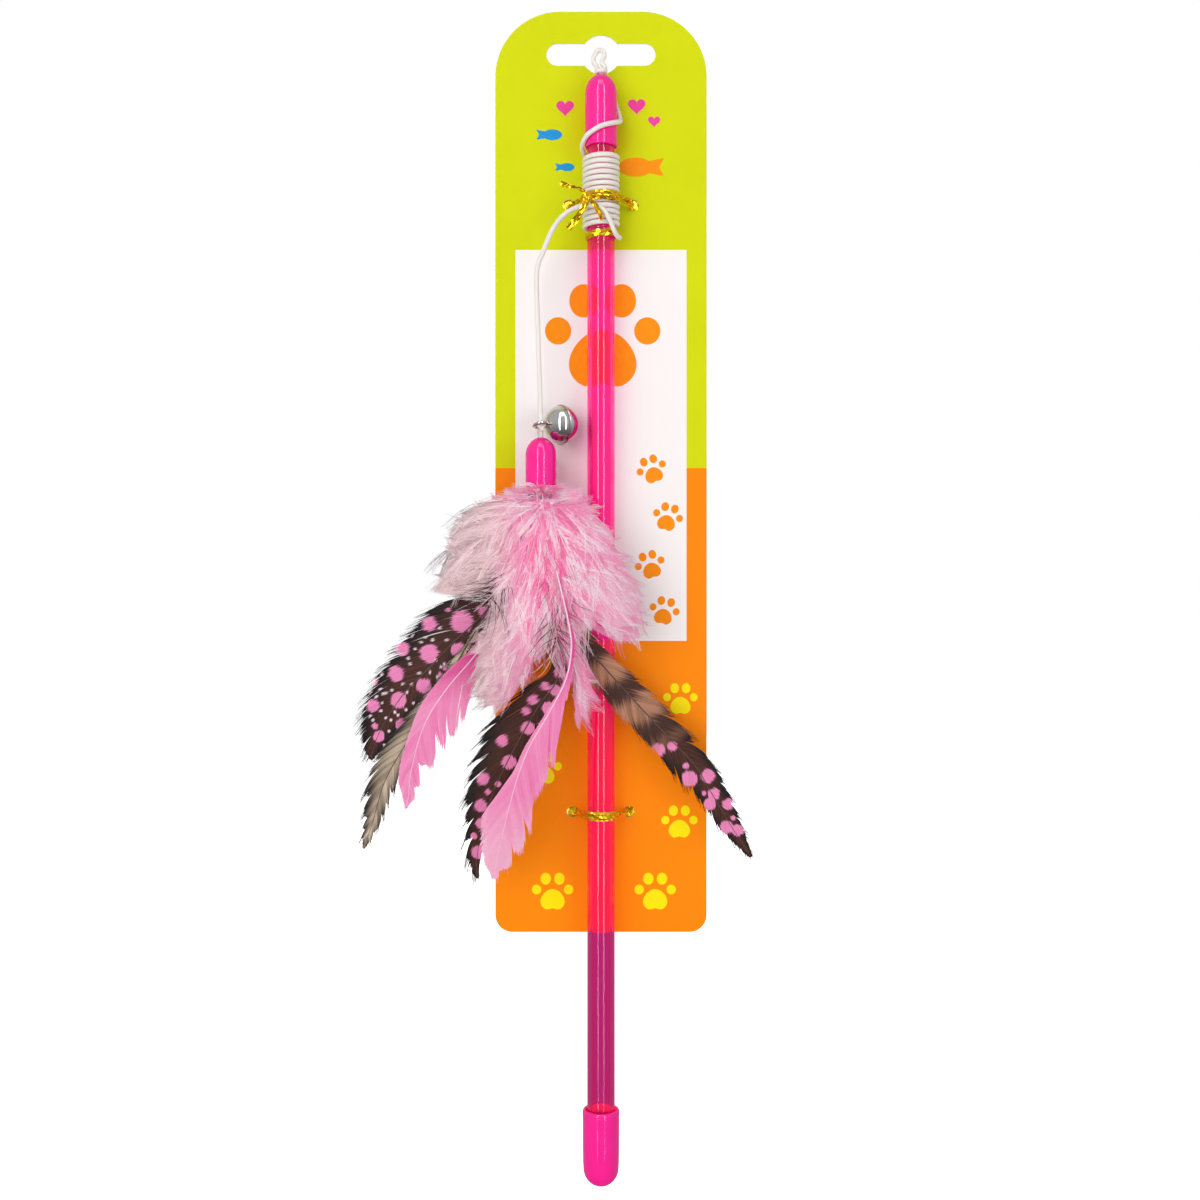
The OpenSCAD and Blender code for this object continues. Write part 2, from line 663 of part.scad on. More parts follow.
module spotted_left_feather() {
    color("SaddleBrown") feather(layer_y(0), spotted_left_len, 34, spotted_left_shares, spotted_left_w);
}
module grey_left_feather() {
    color("RosyBrown") feather(layer_y(1), grey_left_len, 27.4, grey_left_shares, grey_left_w);
}
module pink_left_feather() {
    color("Orchid") feather(layer_y(2), pink_left_len, 24, pink_left_shares, pink_left_w);
}
module barred_right_feather() {
    color("Sienna") feather(layer_y(3), barred_right_len, -30.9, barred_right_shares, barred_right_w);
}
module spotted_middle_feather() {
    color("SaddleBrown")
        feather(layer_y(4), spotted_middle_len, 9.6, spotted_middle_shares, spotted_middle_w);
}
module pink_middle_feather() {
    color("HotPink")
        feather(layer_y(5), pink_middle_len, 7, pink_middle_shares, pink_middle_w, pink_middle_depth_shares);
}

backing_card();
wand_tube();
tip_cap();
grip_cap();
tip_inner_knot();
tip_knot();
tip_loop();
cord_lead();
cord_winding();
cord_arc();
cord_drop();
upper_twist_tie();
cord_end_tie();
lower_twist_tie();
cord_knot();
tie_strands();
lure_inner_knot();
lure_cap();
lure_plug();
bell_eyelet();
bell_upper_half();
bell_lower_half();
bell_pellet();
marabou_left();
marabou_right();
marabou_back();
spotted_left_feather();
grey_left_feather();
pink_left_feather();
spotted_middle_feather();
pink_middle_feather();
barred_right_feather();
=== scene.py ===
# %% [markdown]
# # A cat teaser wand on its hang card
# The imported CAD model is the fixed frame of this scene: its parts sit where they belong, in metres, with Z up.
# The looks are built round it here, piece by piece. The first cell loads the frame.

# %% Load the frame
import math

import bpy
import numpy as np
from mathutils import Matrix, Vector


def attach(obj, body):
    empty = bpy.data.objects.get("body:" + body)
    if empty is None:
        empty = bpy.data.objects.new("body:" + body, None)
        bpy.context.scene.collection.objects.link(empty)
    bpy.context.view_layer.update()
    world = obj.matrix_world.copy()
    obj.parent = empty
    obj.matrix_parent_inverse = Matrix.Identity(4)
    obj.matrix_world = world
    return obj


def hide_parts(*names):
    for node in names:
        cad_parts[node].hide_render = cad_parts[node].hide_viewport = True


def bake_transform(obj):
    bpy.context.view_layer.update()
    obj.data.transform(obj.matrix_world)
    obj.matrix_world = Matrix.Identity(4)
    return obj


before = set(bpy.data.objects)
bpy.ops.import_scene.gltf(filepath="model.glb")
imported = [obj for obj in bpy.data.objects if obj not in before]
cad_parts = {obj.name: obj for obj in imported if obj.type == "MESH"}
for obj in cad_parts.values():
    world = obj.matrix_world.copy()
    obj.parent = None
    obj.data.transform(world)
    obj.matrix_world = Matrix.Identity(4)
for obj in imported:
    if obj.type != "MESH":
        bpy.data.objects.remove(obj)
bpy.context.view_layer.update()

# %% [markdown]
# ## Working in millimetres
# The real pieces are measured in millimetres, and Blender works in metres here, so one factor turns the first into
# the second. A few small helpers follow: a colour is written as the hex value that a picture shows and turned to
# the linear values that shaders use, and a fresh piece always starts with nothing else selected, because an
# operator acts on all that is selected and the frame's nodes start out selected.

# %% Small helpers
MM = 0.001


def mm(x, y, z):
    """A point given in millimetres, in metres."""
    return Vector((x, y, z)) * MM


def tone(hex_code):
    """An sRGB hex colour as linear red, green, blue and alpha."""
    parts = [int(hex_code[i:i + 2], 16) / 255 for i in (1, 3, 5)]
    return tuple(c / 12.92 if c <= 0.04045 else ((c + 0.055) / 1.055) ** 2.4 for c in parts) + (1.0,)


def nothing_selected():
    if bpy.context.object and bpy.context.object.mode != "OBJECT":
        bpy.ops.object.mode_set(mode="OBJECT")
    bpy.ops.object.select_all(action="DESELECT")


def only(ob):
    """Selects one object and makes it the active one."""
    nothing_selected()
    ob.hide_set(False)
    ob.select_set(True)
    bpy.context.view_layer.objects.active = ob


def apply(ob, kind, **settings):
    """Adds one modifier with its settings and applies it."""
    only(ob)
    m = ob.modifiers.new(kind.title(), kind)
    for key, value in settings.items():
        setattr(m, key, value)
    bpy.ops.object.modifier_apply(modifier=m.name)


def linked(name, mesh):
    """A new object of the mesh, in the scene."""
    ob = bpy.data.objects.new(name, mesh)
    bpy.context.collection.objects.link(ob)
    return ob


def smooth_piece(ob, angle):
    """Shades a piece smooth where its faces meet at less than an angle in degrees."""
    only(ob)
    bpy.ops.object.shade_smooth_by_angle(angle=math.radians(angle))
    return ob


def triangles(ob):
    return sum(len(p.vertices) - 2 for p in ob.data.polygons)


# %% [markdown]
# ## The camera
# The picture was taken straight from the front, from close by: the turns of the cord and the caps are seen from
# slightly below at the top and from above at the foot, which puts the lens about 411 mm from the card. The whole
# frame is square and shows 352 mm of the card's plane, and a focal length of 42 mm on a 36 mm sensor gives that.

# %% Camera
CAMERA = (-0.29, -411.0, -160.0)  # its place, in mm
SENSOR, SPAN = 36, 352.3  # mm across the sensor, and across the card's plane in the picture
nothing_selected()
bpy.ops.object.camera_add(location=mm(*CAMERA), rotation=(math.radians(90), 0, 0))
camera = bpy.context.object
camera.name = "camera"
camera.data.sensor_width = SENSOR
camera.data.lens = SENSOR * -CAMERA[1] / SPAN
camera.data.clip_start = 0.01
bpy.context.scene.camera = camera
print("camera lens:", round(camera.data.lens, 2), "mm")

# %% [markdown]
# ## The cord's route
# The elastic cord is 1.4 mm thick. It leaves the wand's tip, comes down round the tube, is wound thirteen times,
# crosses over its own turns under the foil tie and then hangs free down to the lure. The points are those of the
# CAD source: near the wand as angle, radius and height about the tube's axis, and in the open as x, y and z.
# A smooth curve goes through them.

# %% Route points
WAND_Y = -6.0  # in mm, as all below: the wand's axis, in front of the card
LURE_X, LURE_Y = -17.2, -9.65  # the axis of the lure's cap
TUBE_R, TUBE_WALL = 4.0, 1.2
CORD_D = 1.4
WIND_R = TUBE_R + 0.05 + CORD_D / 2  # the cord's middle, on the tube with a little air
WIND_TURNS, WIND_PITCH, WIND_TOP = 13, 1.6, -31.7
SWING = (-18.4, LURE_Y, -66.0)  # where the cord hangs free
KNOT = np.array((LURE_X, LURE_Y, -109.8))
lead_route = [
    (80, 1.9, -7.2), (72, 3.3, -7.6), (62, 4.7, -9.2), (50, 5.6, -12.5), (36, 5.6, -16.5), (16, 5.6, -19.8),
    (-10, 5.6, -21.9), (-45, 5.6, -23.2), (-90, 5.6, -24.7), (-135, 5.6, -26.8), (-175, 5.5, -29.0),
    (-210, 5.3, -30.7), (-236, 5.0, -31.4)]
crossing_route = [
    (55, 5.0, -53.0), (30, 5.2, -54.1), (2, 5.35, -55.1), (-25, 5.5, -55.7), (-46, 5.9, -55.0), (-60, 6.3, -53.0),
    (-72, 6.5, -50.8), (-84, 6.55, -48.8), (-100, 6.5, -47.7)]
arc_route = [
    (-4.1, -12.1, -47.4), (-6.3, -11.6, -47.8), (-8.5, -11.2, -48.6), (-10.7, -10.8, -50.0), (-12.9, -10.4, -52.4),
    (-14.8, -10.1, -55.7), (-16.6, -9.9, -60.3)]


def about_wand(angle, radius, z):
    a = math.radians(angle)
    return np.array([radius * math.cos(a), WAND_Y + radius * math.sin(a), z])


def smooth(points, steps):
    """A smooth curve through all the points, with steps parts to each stretch."""
    p = [np.array(q, float) for q in points]
    out = []
    for i in range(len(p) - 1):
        a, b, c, d = p[max(i - 1, 0)], p[i], p[i + 1], p[min(i + 2, len(p) - 1)]
        for t in np.arange(steps) / steps:
            out.append(0.5 * (2 * b + (c - a) * t + (2 * a - 5 * b + 4 * c - d) * t * t
                              + (3 * b - a - 3 * c + d) * t ** 3))
    return np.array(out + [p[-1]])


def run_length(points):
    return float(np.linalg.norm(np.diff(points, axis=0), axis=1).sum())


turns = [about_wand(90 - 10 * i, WIND_R, WIND_TOP - WIND_PITCH * i / 36) for i in range(WIND_TURNS * 36 + 1)]
wound_line = np.concatenate([
    smooth([about_wand(*p) for p in lead_route] + [turns[0]], 4)[:-1], turns,
    smooth([turns[-1]] + [about_wand(*p) for p in crossing_route], 4)[1:]])
free_line = smooth([wound_line[-1]] + arc_route + [
    SWING, (-18.15, LURE_Y, -80.0), (-17.6, LURE_Y, -97.0), KNOT], 5)
print("wound cord:", round(run_length(wound_line), 1), "mm, free cord:", round(run_length(free_line), 1), "mm")

# %% [markdown]
# ## A tube along a line
# A cord, a quill and a wire are all a round section carried along a line. A curve with a bevel would do it too, but
# then the surface has no measure of its own. The mesh made here keeps a map of millimetres along and round the
# cord, so that a braid or a grain can follow it. Sides are carried from ring to ring without twist.

# %% Tubes along lines


def frames_along(line):
    """Headings along a line and two side vectors that don't twist about it."""
    t = np.gradient(line, axis=0)
    t /= np.linalg.norm(t, axis=1)[:, None]
    u = np.zeros_like(t)
    side = np.cross(t[0], (0, 0, 1) if abs(t[0][2]) < 0.9 else (1, 0, 0))
    for i in range(len(t)):
        side = side - side.dot(t[i]) * t[i]
        side /= np.linalg.norm(side)
        u[i] = side
    return t, u, np.cross(t, u)


def tube_mesh(name, lines, sides=12):
    """One mesh of round tubes. Each of lines is (points in mm, radius or radii in mm)."""
    verts, faces, maps = [], [], []
    for line, radii in lines:
        line = np.asarray(line, float)
        n, first = len(line), len(verts)
        r = np.broadcast_to(np.asarray(radii, float), (n,))
        _, u, v = frames_along(line)
        a = np.arange(sides) * 2 * math.pi / sides
        rings = line[:, None] + r[:, None, None] * (np.cos(a)[None, :, None] * u[:, None]
                                                   + np.sin(a)[None, :, None] * v[:, None])
        verts += list(rings.reshape(-1, 3) * MM)
        along = np.concatenate([[0], np.cumsum(np.linalg.norm(np.diff(line, axis=0), axis=1))])
        for i in range(n - 1):
            for k in range(sides):
                b, k2 = first + i * sides, (k + 1) % sides
                faces.append((b + k, b + k2, b + sides + k2, b + sides + k))
                w0, w1 = 2 * math.pi * r[i] * k / sides, 2 * math.pi * r[i] * (k + 1) / sides
                maps += [(along[i], w0), (along[i], w1), (along[i + 1], w1), (along[i + 1], w0)]
        for ring, turn in ((0, -1), (n - 1, 1)):
            faces.append(tuple(first + ring * sides + k for k in range(sides))[::turn])
            maps += [(along[ring], 0.0)] * sides
    mesh = bpy.data.meshes.new(name)
    mesh.from_pydata([tuple(p) for p in verts], [], faces)
    uv = mesh.uv_layers.new(name="UVMap")
    uv.data.foreach_set("uv", np.array(maps, float).ravel())
    return smooth_piece(linked(name, mesh), 50)


# %% [markdown]
# ## The wound cord and the free cord
# The cord is one length of elastic. It is made as two pieces that meet under the foil's front tail: the wound part
# stays on the wand, and the free part hangs down to the knot over the lure.

# %% Cords
wound_cord = tube_mesh("cord_wound", [(wound_line, CORD_D / 2)], 10)
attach(wound_cord, "card_and_wand")
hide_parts("cord_lead", "cord_winding")
free_cord = tube_mesh("cord_free", [(free_line, CORD_D / 2)], 16)
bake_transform(free_cord)
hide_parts("cord_arc", "cord_drop")
print("cords:", triangles(wound_cord), triangles(free_cord), "triangles")

# %% [markdown]
# ## Turned pieces
# The tube and the caps are round all the way. One ring of points is extruded up the axis and scaled at each step,
# as one would pull a profile out of a circle by hand, and the last ring is merged to a point where a dome closes.
# A spin of a drawn profile would give the same, but this way the rings stay in order and nothing has to be welded.

# %% Pulling a profile out of a circle


def turned(name, stations, x=0.0, y=WAND_Y, sides=72):
    """A shell round an upright axis. stations are (radius, height) in mm; a last radius of 0 closes it."""
    nothing_selected()
    r, z = stations[0]
    bpy.ops.mesh.primitive_circle_add(vertices=sides, radius=r * MM, location=mm(x, y, z))
    ob = bpy.context.object
    ob.name = ob.data.name = name
    bpy.ops.object.mode_set(mode="EDIT")
    bpy.ops.mesh.select_all(action="SELECT")
    for (r0, z0), (r1, z1) in zip(stations, stations[1:]):
        bpy.ops.mesh.extrude_region_move(TRANSFORM_OT_translate={"value": (0, 0, (z1 - z0) * MM)})
        if r1 == 0:
            bpy.ops.mesh.merge(type="CENTER")
        elif r1 != r0:
            bpy.ops.transform.resize(value=(r1 / r0, r1 / r0, 1), center_override=mm(x, y, z1))
    bpy.ops.mesh.select_all(action="SELECT")
    bpy.ops.mesh.normals_make_consistent(inside=False)
    bpy.ops.object.mode_set(mode="OBJECT")
    bpy.ops.object.transform_apply(location=True, rotation=True, scale=True)
    return ob


def arc(r, h, z, start, end, steps):
    """Stations of a dome of radius r and height h over the height z, between two angles in degrees."""
    return [(r * math.cos(math.radians(a)) if a < 90 else 0.0, z + h * math.sin(math.radians(a)))
            for a in np.linspace(start, end, steps)]


def set_on(ob, body, slot, *nodes):
    """The piece moves with a body and stands for CAD nodes, which it hides. slot: not used."""
    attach(ob, body)
    if nodes:
        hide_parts(*nodes)


# %% [markdown]
# ## The clear tube
# The wand is a length of extruded acrylic tube, 8 mm outside with a 5.6 mm bore. Only a real wall bends light as
# the real one does, so the shell gets its thickness from Solidify, and the sawn ends get a small bevel.

# %% Tube
tube = turned("clear_tube", [(TUBE_R, z) for z in np.linspace(-323, -13, 32)], sides=96)
apply(tube, "SOLIDIFY", thickness=TUBE_WALL * MM, offset=-1)
apply(tube, "BEVEL", width=0.15 * MM, segments=2, limit_method="ANGLE", angle_limit=math.radians(60))
set_on(smooth_piece(tube, 30), "card_and_wand", "clear_pink_tube", "wand_tube")
print("tube:", triangles(tube), "triangles")

# %% [markdown]
# ## Two dipped vinyl caps
# Caps of soft vinyl are dip moulded: the wall is even, the closed end is a smooth dome, and the open end rolls into
# a thin lip. The tip cap is a snug fit; the grip cap is wider and its mouth stands a little off the tube.

# %% Caps of the wand
tip_cap = turned("tip_cap_vinyl", [
    (4.06, -28.9), (4.18, -29.15), (4.45, -29.2), (4.66, -29.05), (4.72, -28.7), (4.68, -28.2), (4.66, -27.2),
    (4.66, -22.0), (4.65, -17.0), (4.62, -13.6)] + arc(4.62, 5.5, -13.5, 4, 72, 14)
    + [(1.0, -8.1), (0.8, -8.25), (0.74, -9.0)])
grip_cap = turned("grip_cap_vinyl", [
    (4.08, -309.0), (4.3, -307.4), (4.75, -307.05), (5.1, -307.2), (5.34, -307.7), (5.36, -308.4), (5.3, -309.4),
    (5.28, -313.0), (5.26, -318.0), (5.2, -322.5), (5.1, -324.2)]
    + [(r, 2 * -324.2 - z) for r, z in arc(5.1, 5.1, -324.2, 8, 90, 14)])
lure_cap = turned("lure_cap_vinyl", [
    (3.9, -131.0), (3.92, -133.7), (4.1, -133.98), (4.35, -133.95), (4.5, -133.6), (4.47, -133.0), (4.44, -131.5),
    (4.44, -124.0), (4.42, -118.4)] + arc(4.42, 5.0, -118.4, 4, 90, 14), x=LURE_X, y=LURE_Y)
for cap, body, node in ((tip_cap, "card_and_wand", "tip_cap"), (grip_cap, "card_and_wand", "grip_cap"),
                        (lure_cap, "lure", "lure_cap")):
    set_on(smooth_piece(cap, 60), body, "pink_vinyl", node)
print("caps:", triangles(tip_cap), triangles(grip_cap), triangles(lure_cap), "triangles")

# %% [markdown]
# ## Knots and the loop at the tip
# The cord goes through the tip cap to a knot inside. Above the cap it is whipped round itself, and a short tail
# stands up in a loop. Each is the same cord, so each is the same kind of tube, only along a shorter line: two
# close turns for the whipping, and the loop's line is the one from the CAD source.

# %% Tip knot and loop
WHIP_R, WHIP_TURNS = 1.28, 2.2
whip_line = np.array([(WHIP_R * math.cos(a), WAND_Y + WHIP_R * math.sin(a), z) for a, z in zip(
    np.linspace(0.6, 0.6 + 2 * math.pi * WHIP_TURNS, 64), np.linspace(-7.55, -6.75, 64))])
tip_whip = tube_mesh("tip_whipping", [
    (whip_line, 0.62), ([(0, WAND_Y, -9.0), (0, WAND_Y, -8.0), (0.1, WAND_Y, -7.0), (0.1, WAND_Y, -6.2)], 0.9)], 12)
set_on(tip_whip, "card_and_wand", "white_cord", "tip_knot")
loop_line = smooth([
    (-1.2, -6, -7.0), (-1.2, -6, -5.9), (-1.6, -6.1, -5.2), (-2.2, -6.2, -4.3), (-2.1, -6.2, -3), (-1.3, -6.1, -1.6),
    (-0.3, -6, -0.9), (0.7, -5.9, -1.4), (0.9, -5.8, -2.6), (0.3, -5.7, -3.8), (0.2, -5.8, -4.6), (0.8, -5.9, -5.2),
    (1.1, -6, -5.9), (1.0, -6, -7.0)], 5)
tip_loop = tube_mesh("tip_loop_cord", [(loop_line, CORD_D / 2)], 14)
set_on(tip_loop, "card_and_wand", "white_cord", "tip_loop")

# %% [markdown]
# ## The knot over the lure
# The elastic ends in a small hard knot over the lure's cap. A trefoil is the plainest closed knot, and at 3 mm
# across it reads as one. Below it two clear strands go down through the cap's dome to a knot inside.

# %% Lure knot and strands
t = np.linspace(0, 2 * math.pi, 73)
trefoil = np.stack([0.40 * (np.sin(t) + 2 * np.sin(2 * t)), 0.46 * np.sin(3 * t),
                    0.46 * (np.cos(t) - 2 * np.cos(2 * t))], 1) + KNOT
core = [KNOT + (0, 0, 1.2), KNOT - (0, 0, 1.2)]
lure_knot = tube_mesh("lure_knot", [(trefoil, 0.56), (core, 0.6)], 12)
set_on(lure_knot, "lure", "white_cord", "cord_knot")
strands = tube_mesh("clear_strands", [(smooth([
    (LURE_X + side * 0.35, LURE_Y - 0.2 * side, -110.2), (LURE_X + side * 0.75, -9.9, -111.4),
    (LURE_X + side * 0.55, -9.7, -112.6), (LURE_X + side * 0.42, LURE_Y, -114.6)], 6), 0.28)
    for side in (-1, 1)], 12)
set_on(strands, "lure", "clear_strand", "tie_strands")
print("knots:", triangles(tip_whip) + triangles(tip_loop) + triangles(lure_knot), "triangles")

# %% [markdown]
# ## The jingle bell
# Two halves of thin plated steel are pressed to domes and crimped together at their widest, which leaves a raised
# seam, and the far half has a slot with a round hole at each end. Half of a sphere is cut away in edit mode, the
# rim is extruded outwards for the seam, Solidify gives the sheet's thickness, and the slot is cut with Boolean.

# %% Bell
BELL_REACH = np.array((5.7, 3.3, 0.4))  # from the knot to the bell's middle
BELL_AXIS = -BELL_REACH / np.linalg.norm(BELL_REACH)
BELL_TURN = math.atan2(BELL_AXIS[1], BELL_AXIS[0])
BELL_LEAN = math.acos(BELL_AXIS[2])
at_bell = (Matrix.Translation(mm(*(KNOT + BELL_REACH)))
           @ Matrix.Rotation(BELL_TURN, 4, "Z") @ Matrix.Rotation(BELL_LEAN, 4, "Y"))
BELL_R, BELL_H = 5.62, 4.95
SEAM = ((5.86 / BELL_R, 0.22), (1.004, -0.16), (5.7 / 5.88, -0.14))  # growth and rise of each step of the rim
EYE_R = 1.98  # the eyelet's ring, to the middle of its wire
SLOT_LONG, SLOT_WIDE, SLOT_TURN = 6.0, 0.9, 60  # mm, mm, and degrees round the bell


def bell_half(name, up):
    nothing_selected()
    bpy.ops.mesh.primitive_uv_sphere_add(segments=64, ring_count=40, radius=BELL_R * MM)
    ob = bpy.context.object
    ob.name = ob.data.name = name
    ob.scale = (1, 1, BELL_H / BELL_R)
    bpy.ops.object.transform_apply(scale=True)
    bpy.ops.object.mode_set(mode="EDIT")
    bpy.ops.mesh.select_all(action="SELECT")
    bpy.ops.mesh.bisect(plane_co=(0, 0, up * 0.12 * MM), plane_no=(0, 0, up), clear_inner=True)
    bpy.ops.mesh.select_all(action="DESELECT")
    bpy.ops.object.mode_set(mode="OBJECT")
    for v in ob.data.vertices:
        v.select = abs(v.co.z) < 0.14 * MM
    bpy.ops.object.mode_set(mode="EDIT")
    bpy.ops.mesh.select_mode(type="VERT")
    for grow, rise in SEAM:
        bpy.ops.mesh.extrude_region_move(TRANSFORM_OT_translate={"value": (0, 0, rise * up * MM)})
        bpy.ops.transform.resize(value=(grow, grow, 1), center_override=(0, 0, 0))
    bpy.ops.mesh.select_all(action="SELECT")
    bpy.ops.mesh.normals_make_consistent(inside=False)
    bpy.ops.object.mode_set(mode="OBJECT")
    apply(ob, "SOLIDIFY", thickness=0.35 * MM, offset=-1)
    return ob


def slot_cutters():
    """The slot's shape: a flat bar and a round hole at each end."""
    nothing_selected()
    bpy.ops.mesh.primitive_cube_add(size=MM, location=mm(0, 0, -5.6))
    bpy.context.object.scale = (SLOT_LONG, SLOT_WIDE, 8.0)
    made = [bpy.context.object]
    for side in (-1, 1):
        bpy.ops.mesh.primitive_cylinder_add(vertices=32, radius=MM, depth=6 * MM,
                                            location=mm(side * SLOT_LONG / 2, 0, -5.6))
        made.append(bpy.context.object)
    for ob in made:
        only(ob)
        bpy.ops.object.transform_apply(location=True, rotation=True, scale=True)
        ob.data.transform(Matrix.Rotation(math.radians(SLOT_TURN), 4, "Z"))
    return made


bell_near = bell_half("bell_near_half", 1)
bell_far = bell_half("bell_far_half", -1)
for cutter in slot_cutters():
    apply(bell_far, "BOOLEAN", object=cutter, operation="DIFFERENCE", solver="EXACT")
    bpy.data.objects.remove(cutter)
for ob, node in ((bell_near, "bell_upper_half"), (bell_far, "bell_lower_half")):
    ob.data.transform(at_bell)
    set_on(smooth_piece(ob, 35), "bell", "bell_steel", node)
turn_wire = (Matrix.Rotation(BELL_TURN, 3, "Z") @ Matrix.Rotation(BELL_LEAN, 3, "Y")
             @ Matrix.Rotation(math.radians(15), 3, "Z"))
wire_line = KNOT + np.array([turn_wire @ Vector((0, EYE_R * math.sin(a), EYE_R * math.cos(a)))
                             for a in np.linspace(math.radians(-152), math.radians(152), 49)])
bell_wire = tube_mesh("bell_eyelet_wire", [(wire_line, 0.52)], 14)
set_on(bell_wire, "bell", "bell_steel", "bell_eyelet")
print("bell:", triangles(bell_near), triangles(bell_far), triangles(bell_wire), "triangles")

# %% [markdown]
# ## Barbs
# A feather is a quill with hundreds of barbs, and fluff is the same thing with longer, looser ones. Modelling them
# one by one would take days, and a flat card with a picture on it looks like one from the side. So each barb is a
# thin strip with a ridge, three points to a ring, and one function lays any number of them into one mesh at once.
# Every point also carries a colour, which the material reads, because a spot on a feather is painted across many
# barbs.

# %% Many barbs in one mesh


def barb_mesh(name, lines, widths, faces_to, colours, ridge=None, needles=None):
    """Barbs as one mesh. lines: barbs x points x 3 in mm. widths: barbs x points. faces_to: the way the front looks.
    ridge: height of a third point in the middle, as a share of the width; without it the barbs are flat strips.
    needles: extra single triangles, n x 3 x 3 in mm, and a colour for each."""
    n, m = lines.shape[:2]
    t = np.gradient(lines, axis=1)
    t /= np.linalg.norm(t, axis=2)[..., None] + 1e-9
    side = np.cross(t, faces_to)
    side /= np.linalg.norm(side, axis=2)[..., None] + 1e-9
    up = np.cross(side, t)
    w = widths[..., None] / 2
    ring = [lines - side * w, lines + side * w]
    if ridge:
        ring.append(lines + up * w * 2 * ridge)
    k = len(ring)
    verts = np.stack(ring, 2).reshape(-1, 3)
    base = (np.arange(n) * m * k)[:, None, None] + (np.arange(m - 1) * k)[None, :, None]
    a = np.arange(k if ridge else 1)[None, None, :]
    b = (a + 1) % k
    quads = np.stack([base + a, base + k + a, base + k + b, base + b], -1)
    quads = (quads if ridge else quads[..., ::-1]).reshape(-1, 4)
    caps = np.zeros((0, 3), int)
    if ridge:
        ends = np.concatenate([np.arange(n) * m * k, np.arange(n) * m * k + (m - 1) * k])
        caps = np.stack([ends, ends + 1, ends + 2], -1)
        caps[n:] = caps[n:, ::-1]
    paint = np.repeat(colours.reshape(-1, 3), k, axis=0)
    if needles is not None:
        first = len(verts)
        verts = np.concatenate([verts, needles[0].reshape(-1, 3)])
        paint = np.concatenate([paint, np.repeat(needles[1], 3, axis=0)])
        caps = np.concatenate([caps, first + np.arange(len(needles[0]) * 3).reshape(-1, 3)])
    mesh = bpy.data.meshes.new(name)
    mesh.vertices.add(len(verts))
    mesh.vertices.foreach_set("co", (verts * MM).astype(np.float32).ravel())
    mesh.loops.add(quads.size + caps.size)
    mesh.loops.foreach_set("vertex_index", np.concatenate([quads.ravel(), caps.ravel()]).astype(np.int32))
    sizes = np.concatenate([np.full(len(quads), 4), np.full(len(caps), 3)])
    mesh.polygons.add(len(sizes))
    mesh.polygons.foreach_set("loop_start", np.concatenate([[0], np.cumsum(sizes)[:-1]]).astype(np.int32))
    mesh.update(calc_edges=True)
    layer = mesh.color_attributes.new("paint", "FLOAT_COLOR", "POINT")
    layer.data.foreach_set("color", np.concatenate([paint, np.ones((len(paint), 1))], 1).astype(np.float32).ravel())
    if ridge:
        rounded = np.stack([up - 0.7 * side, up + 0.7 * side, up], 2)
        now, then = rounded[:, :-1], rounded[:, 1:]
        corners = np.stack([np.stack([now[:, :, i], then[:, :, i], then[:, :, j], now[:, :, j]], 2)
                            for i, j in ((0, 1), (1, 2), (2, 0))], 2)
        corners[:, :, 0] = -up[:, :-1, None]
        flat_caps = np.zeros((len(caps), 3, 3))
        mesh.normals_split_custom_set(np.concatenate([corners.reshape(-1, 3), flat_caps.reshape(-1, 3)]).tolist())
    return linked(name, mesh)


def lin(hex_code):
    """A colour as three linear values, to paint points with."""
    return np.array(tone(hex_code)[:3])


# %% [markdown]
# ## Feathers
# Each feather lies flat in its own layer and follows the outline that the CAD source gives as shares of its length
# and width. The spine's stations are joined by a smooth curve; from it barbs leave at about 45 degrees and bend
# towards the tip, so that each ends on the outline. Barbs cling together in locks, so a slow saw-tooth turns them
# a little apart and opens the splits between locks, and some run on as fine hairs past the edge.

# %% Outlines of the feathers
HINGE_Z = -133.0  # the mouth of the lure's cap, where all spines start
LAYER_Y = {"spotted_left": -7.45, "grey_left": -8.55, "pink_left": -9.65, "barred_right": -10.75,
           "spotted_middle": -11.85, "pink_middle": -12.95}
